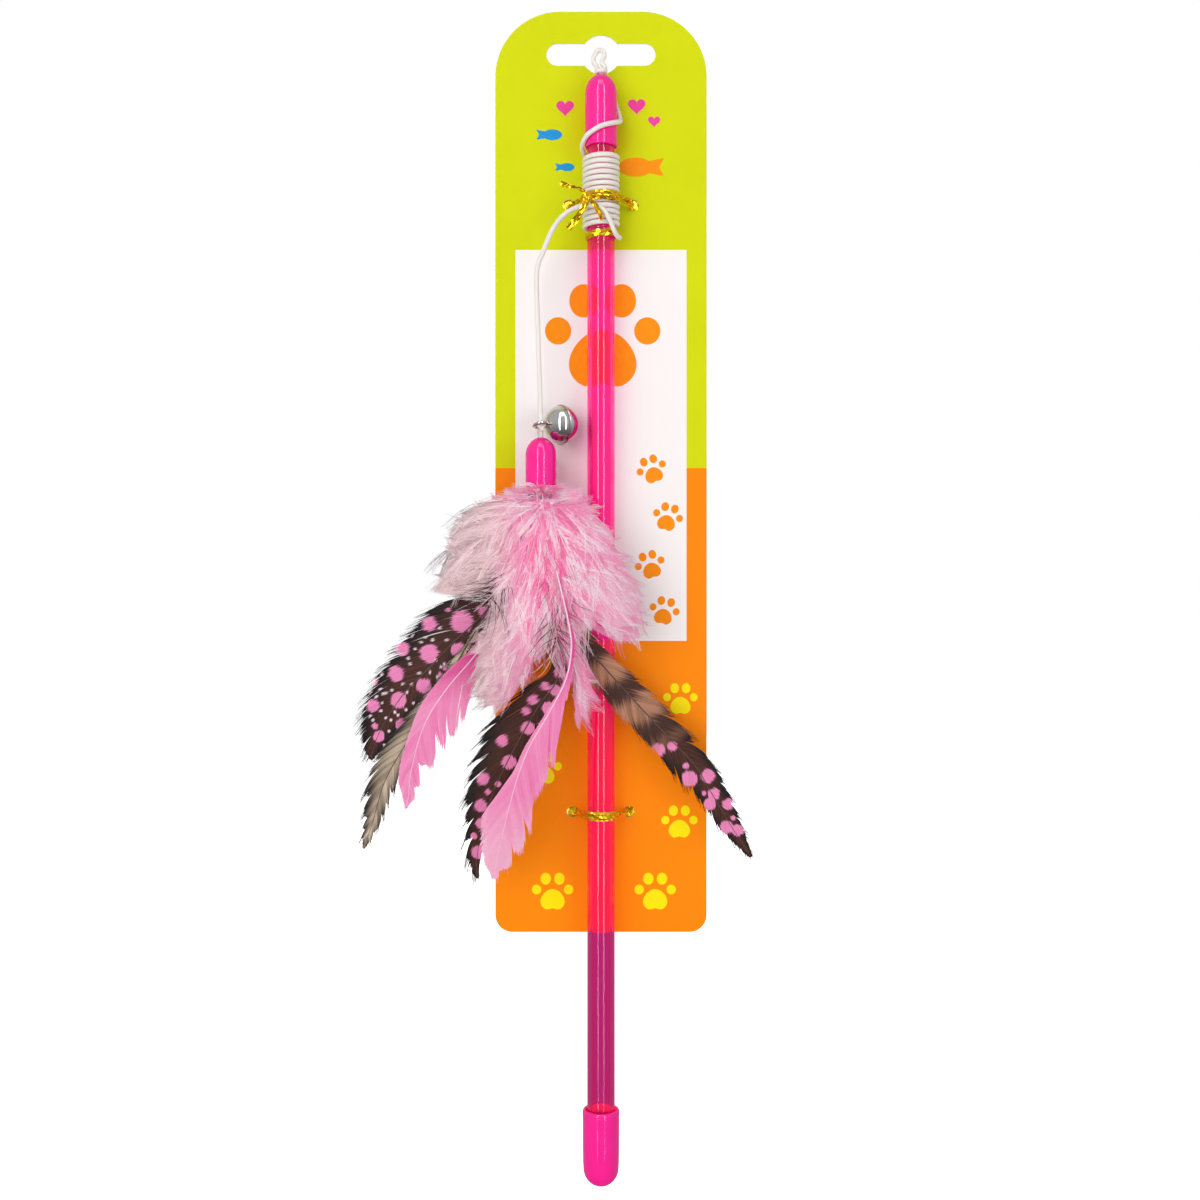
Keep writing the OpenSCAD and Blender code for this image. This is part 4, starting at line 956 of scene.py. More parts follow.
def foil_strip(path, width, first_normal, rng, roll=None, crumple=CRUMPLE, pinch=None):
    """Points and faces of one crumpled strip. roll: turns in degrees along it. pinch: its width along it, 0 to 1."""
    path = np.asarray(path, float)
    d = np.concatenate([[0], np.cumsum(np.linalg.norm(np.diff(path, axis=0), axis=1))])
    line = sample(np.arange(0, d[-1], STRIP_STEP), d, path)
    n, across = len(line), STRIP_ACROSS
    t = np.gradient(line, axis=0)
    t /= np.linalg.norm(t, axis=1)[:, None]
    normal = np.zeros_like(t)
    up = np.array(first_normal, float)
    for i in range(n):
        up = up - up.dot(t[i]) * t[i]
        up /= np.linalg.norm(up)
        normal[i] = up
    side = np.cross(t, normal)
    s = np.linspace(0, 1, n)
    a = np.radians(np.interp(s, *roll)) if roll else np.zeros(n)
    w = width * (np.interp(s, *pinch) if pinch else np.ones(n))
    wide = side * np.cos(a)[:, None] + normal * np.sin(a)[:, None]
    high = normal * np.cos(a)[:, None] - side * np.sin(a)[:, None]
    k = np.linspace(-0.5, 0.5, across)
    p = line[:, None] + wide[:, None] * (k[None, :, None] * w[:, None, None])
    creases = 0.8 * crumple * rng.normal(0, 1, across)[None] + 0.7 * crumple * rng.normal(0, 1, (n, across))
    p = p + high[:, None] * creases[..., None].clip(-2 * crumple, 2 * crumple)
    waves = 0.12 * np.sin(np.arange(n) * 0.9 + rng.uniform(0, 6))
    p = p + high[:, None] * waves[:, None, None] * crumple / CRUMPLE
    p = p + rng.normal(0, 0.05, p.shape)
    faces = [(i * across + j, i * across + j + 1, (i + 1) * across + j + 1, (i + 1) * across + j)
             for i in range(n - 1) for j in range(across - 1)]
    return p.reshape(-1, 3), faces


def foil_piece(name, strips, node):
    """Joins strips into one piece of foil."""
    verts, faces = [], []
    for p, f in strips:
        faces += [tuple(k + len(verts) for k in q) for q in f]
        verts += list(p)
    mesh = bpy.data.meshes.new(name)
    mesh.from_pydata([tuple(v * MM) for v in verts], [], faces)
    ob = linked(name, mesh)
    apply(ob, "TRIANGULATE")
    apply(ob, "SOLIDIFY", thickness=0.06 * MM, offset=0)
    set_on(ob, "card_and_wand", "gold_foil", node)
    print(name, triangles(ob), "triangles")
    return ob


def round_the_wand(r, hole_x, z, tilt=0.0):
    """Through one hole, round the front of the wand, back through the other hole and across the card's back."""
    pts = [(-hole_x, 0.48), (-hole_x, -0.1)]
    pts += [(r * math.cos(math.radians(a)), WAND_Y + r * math.sin(math.radians(a))) for a in range(192, 350, 6)]
    pts += [(hole_x, -0.1), (hole_x, 0.48)]
    return [(x, y, z + tilt * x) for x, y in pts]


rng = np.random.default_rng(31)
BACK = [(11.3, 0.42), (-11.3, 0.42)]
upper = [
    foil_strip(round_the_wand(5.66, 8.75, -43.6, 0.03), 1.7, (-1, 0, 0), rng,
               roll=([0, 0.2, 0.32, 0.7, 0.8, 1], [50, 70, 0, 0, -80, -40]),
               pinch=([0, 0.2, 0.32, 0.7, 0.8, 1], [0.9, 0.6, 1, 1, 0.6, 0.9])),
    foil_strip(round_the_wand(5.78, 9.1, -44.9, -0.05), 1.6, (-1, 0, 0), rng,
               roll=([0, 0.18, 0.3, 0.72, 0.82, 1], [-30, -70, 0, 0, 70, 40]),
               pinch=([0, 0.2, 0.32, 0.7, 0.8, 1], [0.8, 0.5, 1, 1, 0.5, 0.8])),
    foil_strip([(x, y, -44.2) for x, y in BACK], 3.7, (0, 1, 0), rng, crumple=0.08),
    *[foil_strip([(-4.4, -10.4, -44.4), (-4.5, -11.8, -44.3), (-4.4, -13.5, -44.2)], 1.7, normal, rng,
                 roll=([0, 1], [0, 330]), crumple=0.1) for normal in ((0, 0, 1), (1, 0, 0))],
    foil_strip(smooth([(-4.4, -13.2, -44.6), (-6.2, -13.5, -43.0), (-8.6, -13.3, -42.6), (-11.7, -13.0, -41.4)], 8),
               1.5, (0, -1, 0), rng, roll=([0, 0.4, 1], [0, 70, 10]), pinch=([0, 0.3, 0.8, 1], [0.7, 0.8, 1, 0.8])),
    foil_strip(smooth([(-4.6, -13.3, -44.0), (-2.8, -13.8, -46.5), (-0.6, -13.6, -49.6), (0.2, -13.3, -52.6)], 8),
               1.5, (0, -1, 0), rng, roll=([0, 0.5, 1], [20, -50, 30]), pinch=([0, 0.3, 0.8, 1], [0.7, 1, 0.9, 0.7])),
    foil_strip(smooth([(-4.3, -13.6, -44.3), (-4.4, -14.1, -47.4), (-6.6, -13.9, -51.2), (-9.5, -13.5, -54.8)], 8),
               1.9, (0, -1, 0), rng, roll=([0, 0.5, 1], [-40, 40, 0]), pinch=([0, 0.2, 0.8, 1], [0.5, 0.9, 1, 0.9])),
]
upper_foil = foil_piece("upper_foil_tie", upper, "upper_twist_tie")
ring = [(4.28 * math.cos(a), WAND_Y + 4.28 * math.sin(a), -54.7 + 0.4 * math.cos(a))
        for a in np.linspace(math.pi / 2, 2.5 * math.pi, 60)]
end_foil = foil_piece("end_foil_wrap", [
    foil_strip(ring, 2.0, (0, 1, 0), rng, crumple=0.07),
    foil_strip([(x * 1.035, WAND_Y + (y - WAND_Y) * 1.035, z + 0.5 + 0.1 * x) for x, y, z in ring[8:50]], 1.1,
               (-1, 0, 0), rng, crumple=0.08)], "cord_end_tie")
lower_foil = foil_piece("lower_foil_tie", [
    foil_strip(round_the_wand(4.34, 7.75, -222.1), 2.5, (-1, 0, 0), rng,
               roll=([0, 0.15, 0.3, 0.72, 0.86, 1], [20, 60, 0, 0, -60, 20]),
               pinch=([0, 0.15, 0.3, 0.7, 0.86, 1], [0.9, 0.6, 1, 1, 0.6, 0.9])),
    foil_strip(round_the_wand(4.5, 7.5, -222.4, 0.04), 1.5, (-1, 0, 0), rng,
               roll=([0, 0.15, 0.3, 0.72, 0.86, 1], [-20, -60, 0, 0, 60, 20]),
               pinch=([0, 0.15, 0.3, 0.7, 0.86, 1], [0.8, 0.5, 1, 1, 0.5, 0.8])),
    foil_strip([(x * 0.9, y, -222.1) for x, y in BACK], 3.7, (0, 1, 0), rng, crumple=0.09)], "lower_twist_tie")

# %% [markdown]
# ## Ink on the card
# The card's large fields are painted by its material. The small motifs are printed on top: each is a flat shape a
# fiftieth of a millimetre thick, built from circles that are scaled and moved as by hand and then joined, so that
# their edges stay sharp from any distance.

# %% Ink shapes
INK_Y, INK_THICK = -0.25, 0.02  # mm: the board's front, and the film on it


def ink_disc(x, z, w, h, turn):
    """A flat printed ellipse on the card's front."""
    bpy.ops.mesh.primitive_circle_add(vertices=40, radius=MM / 2, fill_type="NGON", location=mm(x, INK_Y, z),
                                      rotation=(math.radians(90), math.radians(turn), 0))
    bpy.context.object.scale = (w, h, 1)
    return bpy.context.object


def ink_outline(points):
    """A flat printed shape with the given x and z points."""
    mesh = bpy.data.meshes.new("ink")
    mesh.from_pydata([tuple(mm(x, INK_Y, z)) for x, z in points], [], [tuple(range(len(points)))])
    return linked("ink", mesh)


def paw(x, z, size, turn=0.0):
    """Four toes and a pad, size mm wide."""
    k = size / 10.4
    a = math.radians(turn)

    def spot(u, v):
        return x + k * (u * math.cos(a) - v * math.sin(a)), z + k * (u * math.sin(a) + v * math.cos(a))

    toes = [ink_disc(*spot(u, v), k * w, k * h, -turn) for u, v, w, h in (
        (-4.0, 0.9, 2.35, 2.45), (-1.7, 3.6, 2.6, 3.0), (1.7, 3.6, 2.6, 3.0), (4.0, 0.9, 2.35, 2.45))]
    pad = []
    for t in np.linspace(0, 2 * math.pi, 48, endpoint=False):
        u, v = 3.0 * math.cos(t) * (1 - 0.16 * math.sin(t)), 2.7 * math.sin(t)
        v = max(v, -2.05 - 0.35 * abs(math.sin(u * 1.05)))
        pad.append(spot(u, v - 1.7))
    return toes + [ink_outline(pad)]


def ink_piece(name, shapes):
    """Joins flat shapes into one print and gives it a film's thickness."""
    nothing_selected()
    for ob in shapes:
        ob.select_set(True)
    bpy.context.view_layer.objects.active = shapes[0]
    bpy.ops.object.join()
    ob = bpy.context.object
    ob.name = ob.data.name = name
    bpy.ops.object.transform_apply(location=True, rotation=True, scale=True)
    bpy.ops.object.mode_set(mode="EDIT")
    bpy.ops.mesh.select_all(action="SELECT")
    bpy.ops.mesh.extrude_region_move(TRANSFORM_OT_translate={"value": (0, -INK_THICK * MM, 0)})
    bpy.ops.mesh.select_all(action="SELECT")
    bpy.ops.mesh.normals_make_consistent(inside=False)
    bpy.ops.object.mode_set(mode="OBJECT")
    set_on(ob, "card_and_wand", "printed_card")
    return ob


def heart(x, z, w):
    """A heart w mm wide."""
    k = w / 32
    return ink_outline([(x + k * 16 * math.sin(a) ** 3,
                         z + k * (13 * math.cos(a) - 5 * math.cos(2 * a) - 2 * math.cos(3 * a) - math.cos(4 * a)))
                        for a in np.linspace(0, 2 * math.pi, 48, endpoint=False)])


def fish(x, z, w, way=1):
    """A fish w mm long that swims to the right, or to the left with way -1."""
    t = np.linspace(-2.45, 2.45, 40)
    body = [(x + way * w * 0.5 * (0.72 * math.cos(a) + 0.18), z + w * 0.2 * math.sin(a)) for a in t]
    tail = [(x - way * w * 0.5, z - w * 0.19), (x - way * w * 0.4, z), (x - way * w * 0.5, z + w * 0.19)]
    return ink_outline(body + tail[::-1])


yellow_paws = ink_piece("yellow_paws", sum([
    paw(23.3, -189.4, 10.2), paw(23.0, -225.5, 10.7), paw(-14.2, -246.0, 12.2), paw(15.9, -246.0, 12.2),
    paw(-16.7, -209.7, 10.6)], []))
orange_paws = ink_piece("orange_paws", sum([
    paw(0.5, -84.0, 34.0), paw(15.0, -122.0, 9.0, 20), paw(19.5, -136.0, 9.0, -14), paw(14.5, -150.0, 9.0, 16),
    paw(18.5, -163.5, 9.0, -12)], []) + [fish(11.5, -33.0, 14.0, -1)])
pink_hearts = ink_piece("pink_hearts", [heart(-10.5, -15.5, 5.2), heart(10.5, -15.0, 5.2), heart(15.6, -19.5, 3.6)])
blue_fish = ink_piece("blue_fish", [fish(-15.0, -23.5, 8.0), fish(-10.5, -33.0, 6.0)])
print("ink:", sum(map(triangles, (yellow_paws, orange_paws, pink_hearts, blue_fish))), "triangles")

# %% [markdown]
# ## Materials
# One small function adds a node with its settings and links. Many of the surfaces are made alike: one noise wanders
# between two close colours, changes the roughness a little and raises low bumps, and a second function makes such a
# material. Object coordinates are metres here, so a noise scale of 1000 gives about one lump to a millimetre.

# %% Node helpers


def add(tree, kind, sockets=None, **settings):
    """Adds a node. sockets: input name or number to a value or to another node's output."""
    n = tree.nodes.new("ShaderNode" + kind)
    for key, value in settings.items():
        setattr(n, key, value)
    for key, value in (sockets or {}).items():
        if isinstance(value, bpy.types.NodeSocket):
            tree.links.new(value, n.inputs[key])
        else:
            n.inputs[key].default_value = value
    return n


def new_material(name):
    mat = bpy.data.materials.new(name)
    mat.use_nodes = True
    mat.node_tree.nodes.clear()
    return mat, mat.node_tree


def dress(mat, *obs):
    for ob in obs:
        ob.data.materials.clear()
        ob.data.materials.append(mat)


def uneven(name, lumps, even, colours=None, rough=None, height=None):
    """A material that wanders with one noise. lumps: its scale and detail. even: what is the same all over.
    colours: the two it goes between. rough: least roughness, and what is added. height: of bumps in mm, strength."""
    mat, tree = new_material(name)
    at = add(tree, "TexCoord").outputs["Object"]
    noise = add(tree, "TexNoise", {"Vector": at, "Scale": lumps[0], "Detail": lumps[1]}).outputs[0]
    wired = dict(even)
    if colours:
        mix = add(tree, "Mix", {0: noise, 6: tone(colours[0]), 7: tone(colours[1])}, data_type="RGBA")
        wired["Base Color"] = mix.outputs[2]
    if rough:
        worn = add(tree, "Math", {0: noise, 1: rough[1], 2: rough[0]}, operation="MULTIPLY_ADD")
        wired["Roughness"] = worn.outputs[0]
    if height:
        bumps = add(tree, "Bump", {"Height": noise, "Distance": height[0] * MM, "Strength": height[1]})
        wired["Normal"] = bumps.outputs[0]
    shader = add(tree, "BsdfPrincipled", wired)
    add(tree, "OutputMaterial", {"Surface": shader.outputs[0]})
    return mat


# %% [markdown]
# ## Printed board
# The card is solid bleached board of half a millimetre, printed in flat lime and orange round a white panel on its
# front, under a matt varnish. The fields are straight, so plain comparisons of the object's own coordinates give
# them. To the eye the ink is flat and even, with hardly a shine, and the cut edges and the back show bare fibres.

# %% Card
VARNISH = {"IOR": 1.48, "Specular IOR Level": 0.08}
MATT = (0.52, 0.16)
board, tree = new_material("varnished_printed_board")
at = add(tree, "TexCoord").outputs["Object"]
x, y, z = add(tree, "SeparateXYZ", {0: at}).outputs
# in metres: the lime field's lower edge, the panel's middle and half its size, and the front face
lime_part = add(tree, "Math", {0: z, 1: -0.1213}, operation="GREATER_THAN").outputs[0]
across = add(tree, "Math", {0: x, 1: 0.0, 2: 0.0251}, operation="COMPARE").outputs[0]
upright = add(tree, "Math", {0: z, 1: -0.11465, 2: 0.05735}, operation="COMPARE").outputs[0]
panel = add(tree, "Math", {0: across, 1: upright}, operation="MULTIPLY").outputs[0]
front = add(tree, "Math", {0: y, 1: -0.000245}, operation="LESS_THAN").outputs[0]
# fibres of about 1 mm, drawn coarser than the real ones, and a cloudiness of 25 mm in the ink
mottle = add(tree, "TexNoise", {"Vector": at, "Scale": 900.0, "Detail": 4.0}).outputs[0]
cloudy = add(tree, "TexNoise", {"Vector": at, "Scale": 40.0, "Detail": 2.0}).outputs[0]
lime = add(tree, "Mix", {0: cloudy, 6: tone("#CFD600"), 7: tone("#D8E008")}, data_type="RGBA").outputs[2]
orange = add(tree, "Mix", {0: cloudy, 6: tone("#FF8600"), 7: tone("#FF8F05")}, data_type="RGBA").outputs[2]
fields = add(tree, "Mix", {0: lime_part, 6: orange, 7: lime}, data_type="RGBA").outputs[2]
ink = add(tree, "Mix", {0: panel, 6: fields, 7: tone("#F7F3F1")}, data_type="RGBA").outputs[2]
fibres = add(tree, "Mix", {0: mottle, 6: tone("#E6E1DA"), 7: tone("#F8F5EF")}, data_type="RGBA").outputs[2]
colour = add(tree, "Mix", {0: front, 6: fibres, 7: ink}, data_type="RGBA").outputs[2]
worn = add(tree, "Math", {0: mottle, 1: MATT[1], 2: MATT[0]}, operation="MULTIPLY_ADD").outputs[0]
bumps = add(tree, "Bump", {"Height": mottle, "Distance": 0.01 * MM, "Strength": 0.4}).outputs[0]
shader = add(tree, "BsdfPrincipled", dict(VARNISH, **{"Base Color": colour, "Roughness": worn, "Normal": bumps}))
add(tree, "OutputMaterial", {"Surface": shader.outputs[0]})
dress(board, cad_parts["backing_card"])

# %% Printed motifs
# each a flat ink under the same varnish, a little uneven in its film
for ink_name, thin, full, print_piece in (
        ("ink_yellow", "#FFE300", "#FFEC10", yellow_paws), ("ink_orange", "#F98A08", "#FF9A14", orange_paws),
        ("ink_pink", "#E83C96", "#F24AA4", pink_hearts), ("ink_blue", "#1E8FD2", "#2C9EE0", blue_fish)):
    dress(uneven(ink_name, (900.0, 3.0), VARNISH, (thin, full), MATT), print_piece)

# %% [markdown]
# ## Clear pink acrylic
# The tube is cast through with a pink dye: light that has crossed its wall comes out a saturated pink. The
# Principled shader with full transmission bends the light, and for the rays that look for lamps it is swapped for a
# tinted Transparent shader, so that the card behind is lit through the tube and not left in a black shadow. Near
# the tube's edge the light takes a longer way through the wall, so there the colour is painted a deeper pink by the
# angle of view: a painted shade for that longer way. The strands at the lure are the same kind of material
# without a dye: to the eye, two bright threads.

# %% Clear materials


def clear_plastic(name, even, shadow_hex, lumps, height, edge=None):
    """lumps: the scale of the low bumps. height: in mm, strength. edge: colours seen face on, and at the rim, where
    the deeper one is a painted shade.
    """
    mat, tree = new_material(name)
    at = add(tree, "TexCoord").outputs["Object"]
    noise = add(tree, "TexNoise", {"Vector": at, "Scale": lumps}).outputs[0]
    bumps = add(tree, "Bump", {"Height": noise, "Distance": height[0] * MM, "Strength": height[1]})
    wired = dict(even, **{"Transmission Weight": 1.0, "Normal": bumps.outputs[0]})
    if edge:
        # painted shade: the colour turns to the deeper rim pink as the surface turns away from the view
        facing = add(tree, "LayerWeight", {"Blend": 0.5}).outputs["Facing"]
        longer = add(tree, "MapRange", {"Value": facing, "From Min": 0.15, "From Max": 0.45}).outputs[0]
        dye_and_rim_shade = add(tree, "Mix", {0: longer, 6: tone(edge[0]), 7: tone(edge[1])}, data_type="RGBA")
        wired["Base Color"] = dye_and_rim_shade.outputs[2]
    plastic = add(tree, "BsdfPrincipled", wired)
    film = add(tree, "BsdfTransparent", {"Color": tone(shadow_hex)})
    shadow = add(tree, "LightPath").outputs["Is Shadow Ray"]
    mix = add(tree, "MixShader", {0: shadow, 1: plastic.outputs[0], 2: film.outputs[0]})
    add(tree, "OutputMaterial", {"Surface": mix.outputs[0]})
    return mat


# waves of 4 mm in the wall, a faint painted glow of pink Emission though the tube is no lamp, and a rim
# painted a deeper pink as shade
dress(clear_plastic("clear_dyed_acrylic", {
    "Roughness": 0.03, "IOR": 1.49, "Emission Color": tone("#FF10A0"), "Emission Strength": 0.05},
    "#FDF7FA", 250.0, (0.01, 0.12), ("#FF50CA", "#FF2480")), tube)
# a grain of 0.4 mm
dress(clear_plastic("clear_nylon_strand", {"Base Color": tone("#F4F4F2"), "Roughness": 0.12, "IOR": 1.53},
                    "#E8E8E8", 2500.0, (0.02, 0.5)), strands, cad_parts["lure_inner_knot"])

# %% [markdown]
# ## Dipped vinyl
# Plasticised PVC with a pink pigment: opaque, with a soft gloss, a little light under its skin, and the faint
# unevenness that dipping leaves: waves of 4 mm in the form, and a grain of half a millimetre in the gloss.

# %% Vinyl
vinyl, tree = new_material("dipped_pink_vinyl")
at = add(tree, "TexCoord").outputs["Object"]
wavy = add(tree, "TexNoise", {"Vector": at, "Scale": 260.0, "Detail": 2.0}).outputs[0]
fine = add(tree, "TexNoise", {"Vector": at, "Scale": 1800.0, "Detail": 2.0}).outputs[0]
pinks = add(tree, "Mix", {0: wavy, 6: tone("#FF108E"), 7: tone("#FF249C")}, data_type="RGBA").outputs[2]
gloss = add(tree, "Math", {0: fine, 1: 0.06, 2: 0.05}, operation="MULTIPLY_ADD").outputs[0]
bumps = add(tree, "Bump", {"Height": wavy, "Distance": 0.02 * MM, "Strength": 0.35}).outputs[0]
shader = add(tree, "BsdfPrincipled", {
    "Base Color": pinks, "Roughness": gloss, "Normal": bumps, "IOR": 1.53, "Specular IOR Level": 0.4,
    "Subsurface Weight": 0.1, "Subsurface Radius": (1.0, 0.25, 0.4), "Subsurface Scale": 0.0015})
add(tree, "OutputMaterial", {"Surface": shader.outputs[0]})
dress(vinyl, tip_cap, grip_cap, lure_cap)

# %% [markdown]
# ## Braided elastic
# The cord is a rubber core in a tight braid of white polyester, dull and a little fuzzy to the eye. The braid's
# ribs run both ways round it at half a millimetre, so two wave patterns follow the cord's own map of millimetres,
# one leaning each way.

# %% Cord material
braid, tree = new_material("white_braided_elastic")
uv = add(tree, "TexCoord").outputs["UV"]
ribs = []
for lean in (0.9, -0.9):
    turned_map = add(tree, "Mapping", {"Vector": uv, "Rotation": (0, 0, lean)})
    wave = add(tree, "TexWave", {"Vector": turned_map.outputs[0], "Scale": 0.62, "Distortion": 0.6,
                                 "Detail": 1.0}, wave_type="BANDS", bands_direction="X")
    ribs.append(wave.outputs[1])
knit = add(tree, "Math", {0: ribs[0], 1: ribs[1]}, operation="MAXIMUM").outputs[0]
# the braid is all white: its low places between the ribs are painted darker, a painted shade in the grooves
whites_with_groove_shade = add(tree, "Mix", {0: knit, 6: tone("#DAD3CB"), 7: tone("#F6F1EB")}, data_type="RGBA").outputs[2]
bumps = add(tree, "Bump", {"Height": knit, "Distance": 0.08 * MM, "Strength": 0.6}).outputs[0]
shader = add(tree, "BsdfPrincipled", {"Base Color": whites_with_groove_shade, "Normal": bumps, "IOR": 1.5, "Roughness": 0.6,
                                      "Sheen Weight": 0.1, "Sheen Roughness": 0.4})
add(tree, "OutputMaterial", {"Surface": shader.outputs[0]})
dress(braid, wound_cord, free_cord, tip_whip, tip_loop, lure_knot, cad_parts["tip_inner_knot"])

# %% [markdown]
# ## Metals
# The bell is steel with a bright nickel plate, smooth as a mirror with faint scuffs. The foil is metallised film:
# a thin bright layer of aluminium under yellow lacquer. Both are pure metal to the shader, with roughness that
# wanders, because an even mirror looks like nothing.

# %% Bell and foil
# scuffs of 2 mm and finer
plate = uneven("nickel_plated_steel", (500.0, 5.0), {"Base Color": tone("#C9C7C6"), "Metallic": 1.0},
               rough=(0.03, 0.10), height=(0.004, 0.3))
dress(plate, bell_near, bell_far, bell_wire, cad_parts["bell_pellet"])
# smears and dents of about 1 mm, coarser than the real film's fine wrinkles
gold = uneven("gold_metallised_film", (900.0, 3.0), {"Metallic": 1.0}, ("#DCA310", "#FFD83A"),
              (0.08, 0.2), (0.03, 0.5))
dress(gold, upper_foil, end_foil, lower_foil)

# %% [markdown]
# ## Feathers and down
# Keratin is a horn, with a silky gloss along each barb. The colours were painted on the points, so the material only
# reads them, with flecks of a millimetre, and adds the sheen and a Translucent part, because thin barbs let some of
# the light through. Down is rougher and lets more through. Its barbs are drawn thicker and fewer than the real ones,
# so most of the rays that look for lamps slip between them, which keeps the cloud as airy as a real one.

# %% Feather materials


def barb_material(name, roughness, through, sheen, fleck, sparse=0.0):
    """through: the share of light that goes through a barb. sparse: the share of lamp rays that slip between them."""
    mat, tree = new_material(name)
    paint = add(tree, "Attribute", attribute_name="paint").outputs["Color"]
    at = add(tree, "TexCoord").outputs["Object"]
    flecks = add(tree, "TexNoise", {"Vector": at, "Scale": 1200.0}).outputs[0]
    shade = add(tree, "Mix", {0: flecks, 6: tone(fleck), 7: tone("#FFFFFF")}, data_type="RGBA").outputs[2]
    dyed = add(tree, "Mix", {0: 1.0, 6: paint, 7: shade}, data_type="RGBA", blend_type="MULTIPLY").outputs[2]
    horn = add(tree, "BsdfPrincipled", {"Base Color": dyed, "IOR": 1.54, "Roughness": roughness,
                                        "Sheen Weight": sheen, "Sheen Roughness": 0.35, "Specular IOR Level": 0.2})
    thin = add(tree, "BsdfTranslucent", {"Color": dyed})
    mix = add(tree, "MixShader", {0: through, 1: horn.outputs[0], 2: thin.outputs[0]})
    if sparse:
        shadow = add(tree, "LightPath").outputs["Is Shadow Ray"]
        slip = add(tree, "Math", {0: shadow, 1: sparse}, operation="MULTIPLY")
        gaps = add(tree, "BsdfTransparent")
        mix = add(tree, "MixShader", {0: slip.outputs[0], 1: mix.outputs[0], 2: gaps.outputs[0]})
    add(tree, "OutputMaterial", {"Surface": mix.outputs[0]})
    return mat


vane_mat = barb_material("dyed_feather_barbs", 0.5, 0.1, 0.03, "#F2F2F2")
down_mat = barb_material("dyed_marabou_down", 0.8, 0.15, 0.1, "#F6F6F6", 0.95)
dress(down_mat, down_left, down_right, down_back)
# the quills: smooth horn with streaks of 1.4 mm, pale in the pink feathers and dark in the others
HORN = {"IOR": 1.54, "Roughness": 0.35, "Coat Weight": 0.2}
pale_horn = uneven("pale_quill_horn", (700.0, 2.0), HORN, ("#F2B9D6", "#FFDCEC"))
dark_horn = uneven("dark_quill_horn", (700.0, 2.0), HORN, ("#3A2320", "#5E4038"))
for name, (vane, quill) in feathers.items():
    dress(vane_mat, vane)
    dress(pale_horn if name.startswith("pink") else dark_horn, quill)

# %% Glue in the lure's cap
# a waxy amber plug with lumps of 1.7 mm
glue = uneven("hot_melt_glue", (600.0, 3.0), {
    "IOR": 1.48, "Roughness": 0.35, "Subsurface Weight": 0.3, "Subsurface Radius": (1.0, 0.8, 0.5),
    "Subsurface Scale": 0.002}, ("#CDB98E", "#EADDBB"), height=(0.1, 0.5))
dress(glue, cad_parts["lure_plug"])
print("materials:", len(bpy.data.materials))

# %% [markdown]
# ## Floor, background and light
# A product on white: the background is white to the camera, and that whiteness lights nothing. Clear plastic sees it
# dimmer, and brighter to the sides, and mirrors see a grey room that is lighter above. The light itself is soft and
# comes from above on the left, with a weaker fill on the right and a lamp behind for the back, at a level at which a
# colour renders about as it is written. Two tall narrow lamps beside the camera and a small one above only draw
# highlights on the tube, the caps and the bell. The floor is far below, where it keeps the shadow.

# %% Floor
FLOOR_Z = -0.49  # in metres
WHITE = (1, 1, 1, 1)
nothing_selected()
bpy.ops.mesh.primitive_plane_add(size=6, location=(0, 0, FLOOR_Z))
floor = bpy.context.object
floor.name = "floor"
bpy.ops.object.transform_apply(location=True)
pale, tree = new_material("pale_floor")
seen = add(tree, "LightPath").outputs
looked = add(tree, "Math", {0: seen["Is Transmission Ray"], 1: 0.1, 2: seen["Is Camera Ray"]},
             operation="MULTIPLY_ADD").outputs[0]
# it glows in full from 0.45 m outwards, and at under half near the foot, where its shadow shows
at = add(tree, "TexCoord").outputs["Object"]
far = add(tree, "VectorMath", {0: at, 1: (0, 0, -FLOOR_Z)}, operation="ADD").outputs[0]
away = add(tree, "VectorMath", {0: far}, operation="LENGTH").outputs["Value"]
grow = add(tree, "MapRange", {"Value": away, "From Min": 0.15, "From Max": 0.45, "To Min": 0.45,
                              "To Max": 1.0}).outputs[0]
glow = add(tree, "Math", {0: looked, 1: grow}, operation="MULTIPLY").outputs[0]
colour = add(tree, "Mix", {0: seen["Is Transmission Ray"], 6: tone("#F2F2F2"), 7: tone("#8A8A8A")},
             data_type="RGBA").outputs[2]
shader = add(tree, "BsdfPrincipled", {"Base Color": colour, "Roughness": 0.9, "Specular IOR Level": 0.0,
                                      "Emission Color": WHITE, "Emission Strength": glow})
add(tree, "OutputMaterial", {"Surface": shader.outputs[0]})
dress(pale, floor)
floor.visible_glossy = False

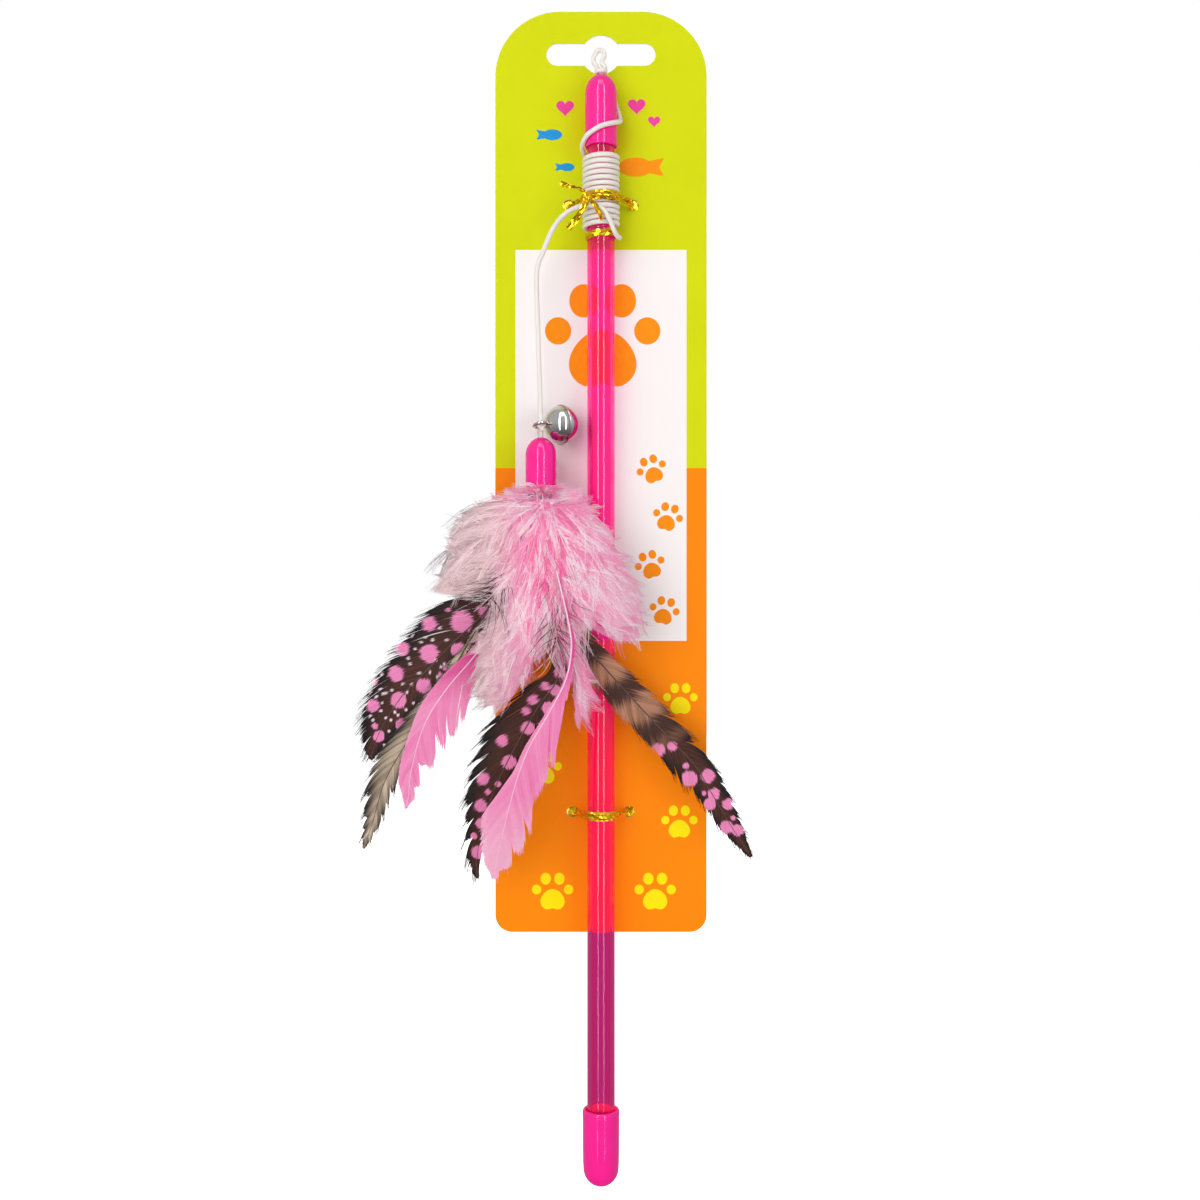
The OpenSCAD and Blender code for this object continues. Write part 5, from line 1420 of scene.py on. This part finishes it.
# %% World
THROUGH, ASIDE = 0.4, 0.65  # how bright the white is to clear plastic, straight behind and to the sides
world = bpy.data.worlds.new("studio")
bpy.context.scene.world = world
world.use_nodes = True
tree = world.node_tree
tree.nodes.clear()
seen = add(tree, "LightPath").outputs
way = add(tree, "SeparateXYZ", {0: add(tree, "TexCoord").outputs["Generated"]}).outputs
room = add(tree, "MapRange", {"Value": way[2], "From Min": -0.8, "From Max": 0.3, "To Min": 0.14,
                              "To Max": 0.62}).outputs[0]
soft = add(tree, "Background", {"Color": WHITE, "Strength": 0.43})
mirror = add(tree, "Background", {"Color": WHITE, "Strength": room})
off_middle = add(tree, "Math", {0: way[0]}, operation="ABSOLUTE").outputs[0]
wall = add(tree, "MapRange", {"Value": off_middle, "From Min": 0.35, "From Max": 0.7, "To Min": THROUGH - 1,
                              "To Max": ASIDE - 1}).outputs[0]
dim = add(tree, "Math", {0: seen["Is Transmission Ray"], 1: wall, 2: 1.0}, operation="MULTIPLY_ADD").outputs[0]
white = add(tree, "Background", {"Color": WHITE, "Strength": dim})
straight = add(tree, "Math", {0: seen["Is Camera Ray"], 1: seen["Is Transmission Ray"]},
               operation="MAXIMUM").outputs[0]
first = add(tree, "MixShader", {0: seen["Is Glossy Ray"], 1: soft.outputs[0], 2: mirror.outputs[0]})
both = add(tree, "MixShader", {0: straight, 1: first.outputs[0], 2: white.outputs[0]})
add(tree, "OutputWorld", {"Surface": both.outputs[0]})

# %% Lamps
MIDDLE = Vector((0, 0, -0.16))  # where all lamps look, in metres


def lamp(name, at, wide, high, watts, gloss=True, diffuse=True):
    """A soft lamp. gloss: shows in shiny surfaces, as an ellipse. diffuse: lights the rest, as a rectangle."""
    nothing_selected()
    bpy.ops.object.light_add(type="AREA", location=at)
    ob = bpy.context.object
    ob.name = name
    ob.rotation_euler = (MIDDLE - Vector(at)).to_track_quat("-Z", "Y").to_euler()
    ob.data.shape = "RECTANGLE" if diffuse else "ELLIPSE"
    ob.data.size, ob.data.size_y = wide, high
    ob.data.energy = watts
    ob.visible_camera = False
    ob.visible_transmission = False
    ob.visible_glossy = gloss
    ob.visible_diffuse = diffuse


lamp("key_upper_left", (-0.8, -1.4, 0.2), 1.3, 1.3, 14.2, gloss=False)
lamp("fill_right", (1.1, -1.2, -0.45), 1.0, 1.2, 11.0, gloss=False)
lamp("back", (-0.5, 1.5, 0.1), 1.2, 1.2, 7.0, gloss=False)
for side, name in ((-1, "left"), (1, "right")):
    lamp("strip_" + name, (side * 0.33, -0.76, 0.02), 0.1, 1.6, 3.5, diffuse=False)
lamp("softbox_top", (-0.05, -0.4, 0.55), 0.4, 0.4, 1.2, diffuse=False)
bpy.context.scene.view_settings.view_transform = "Standard"
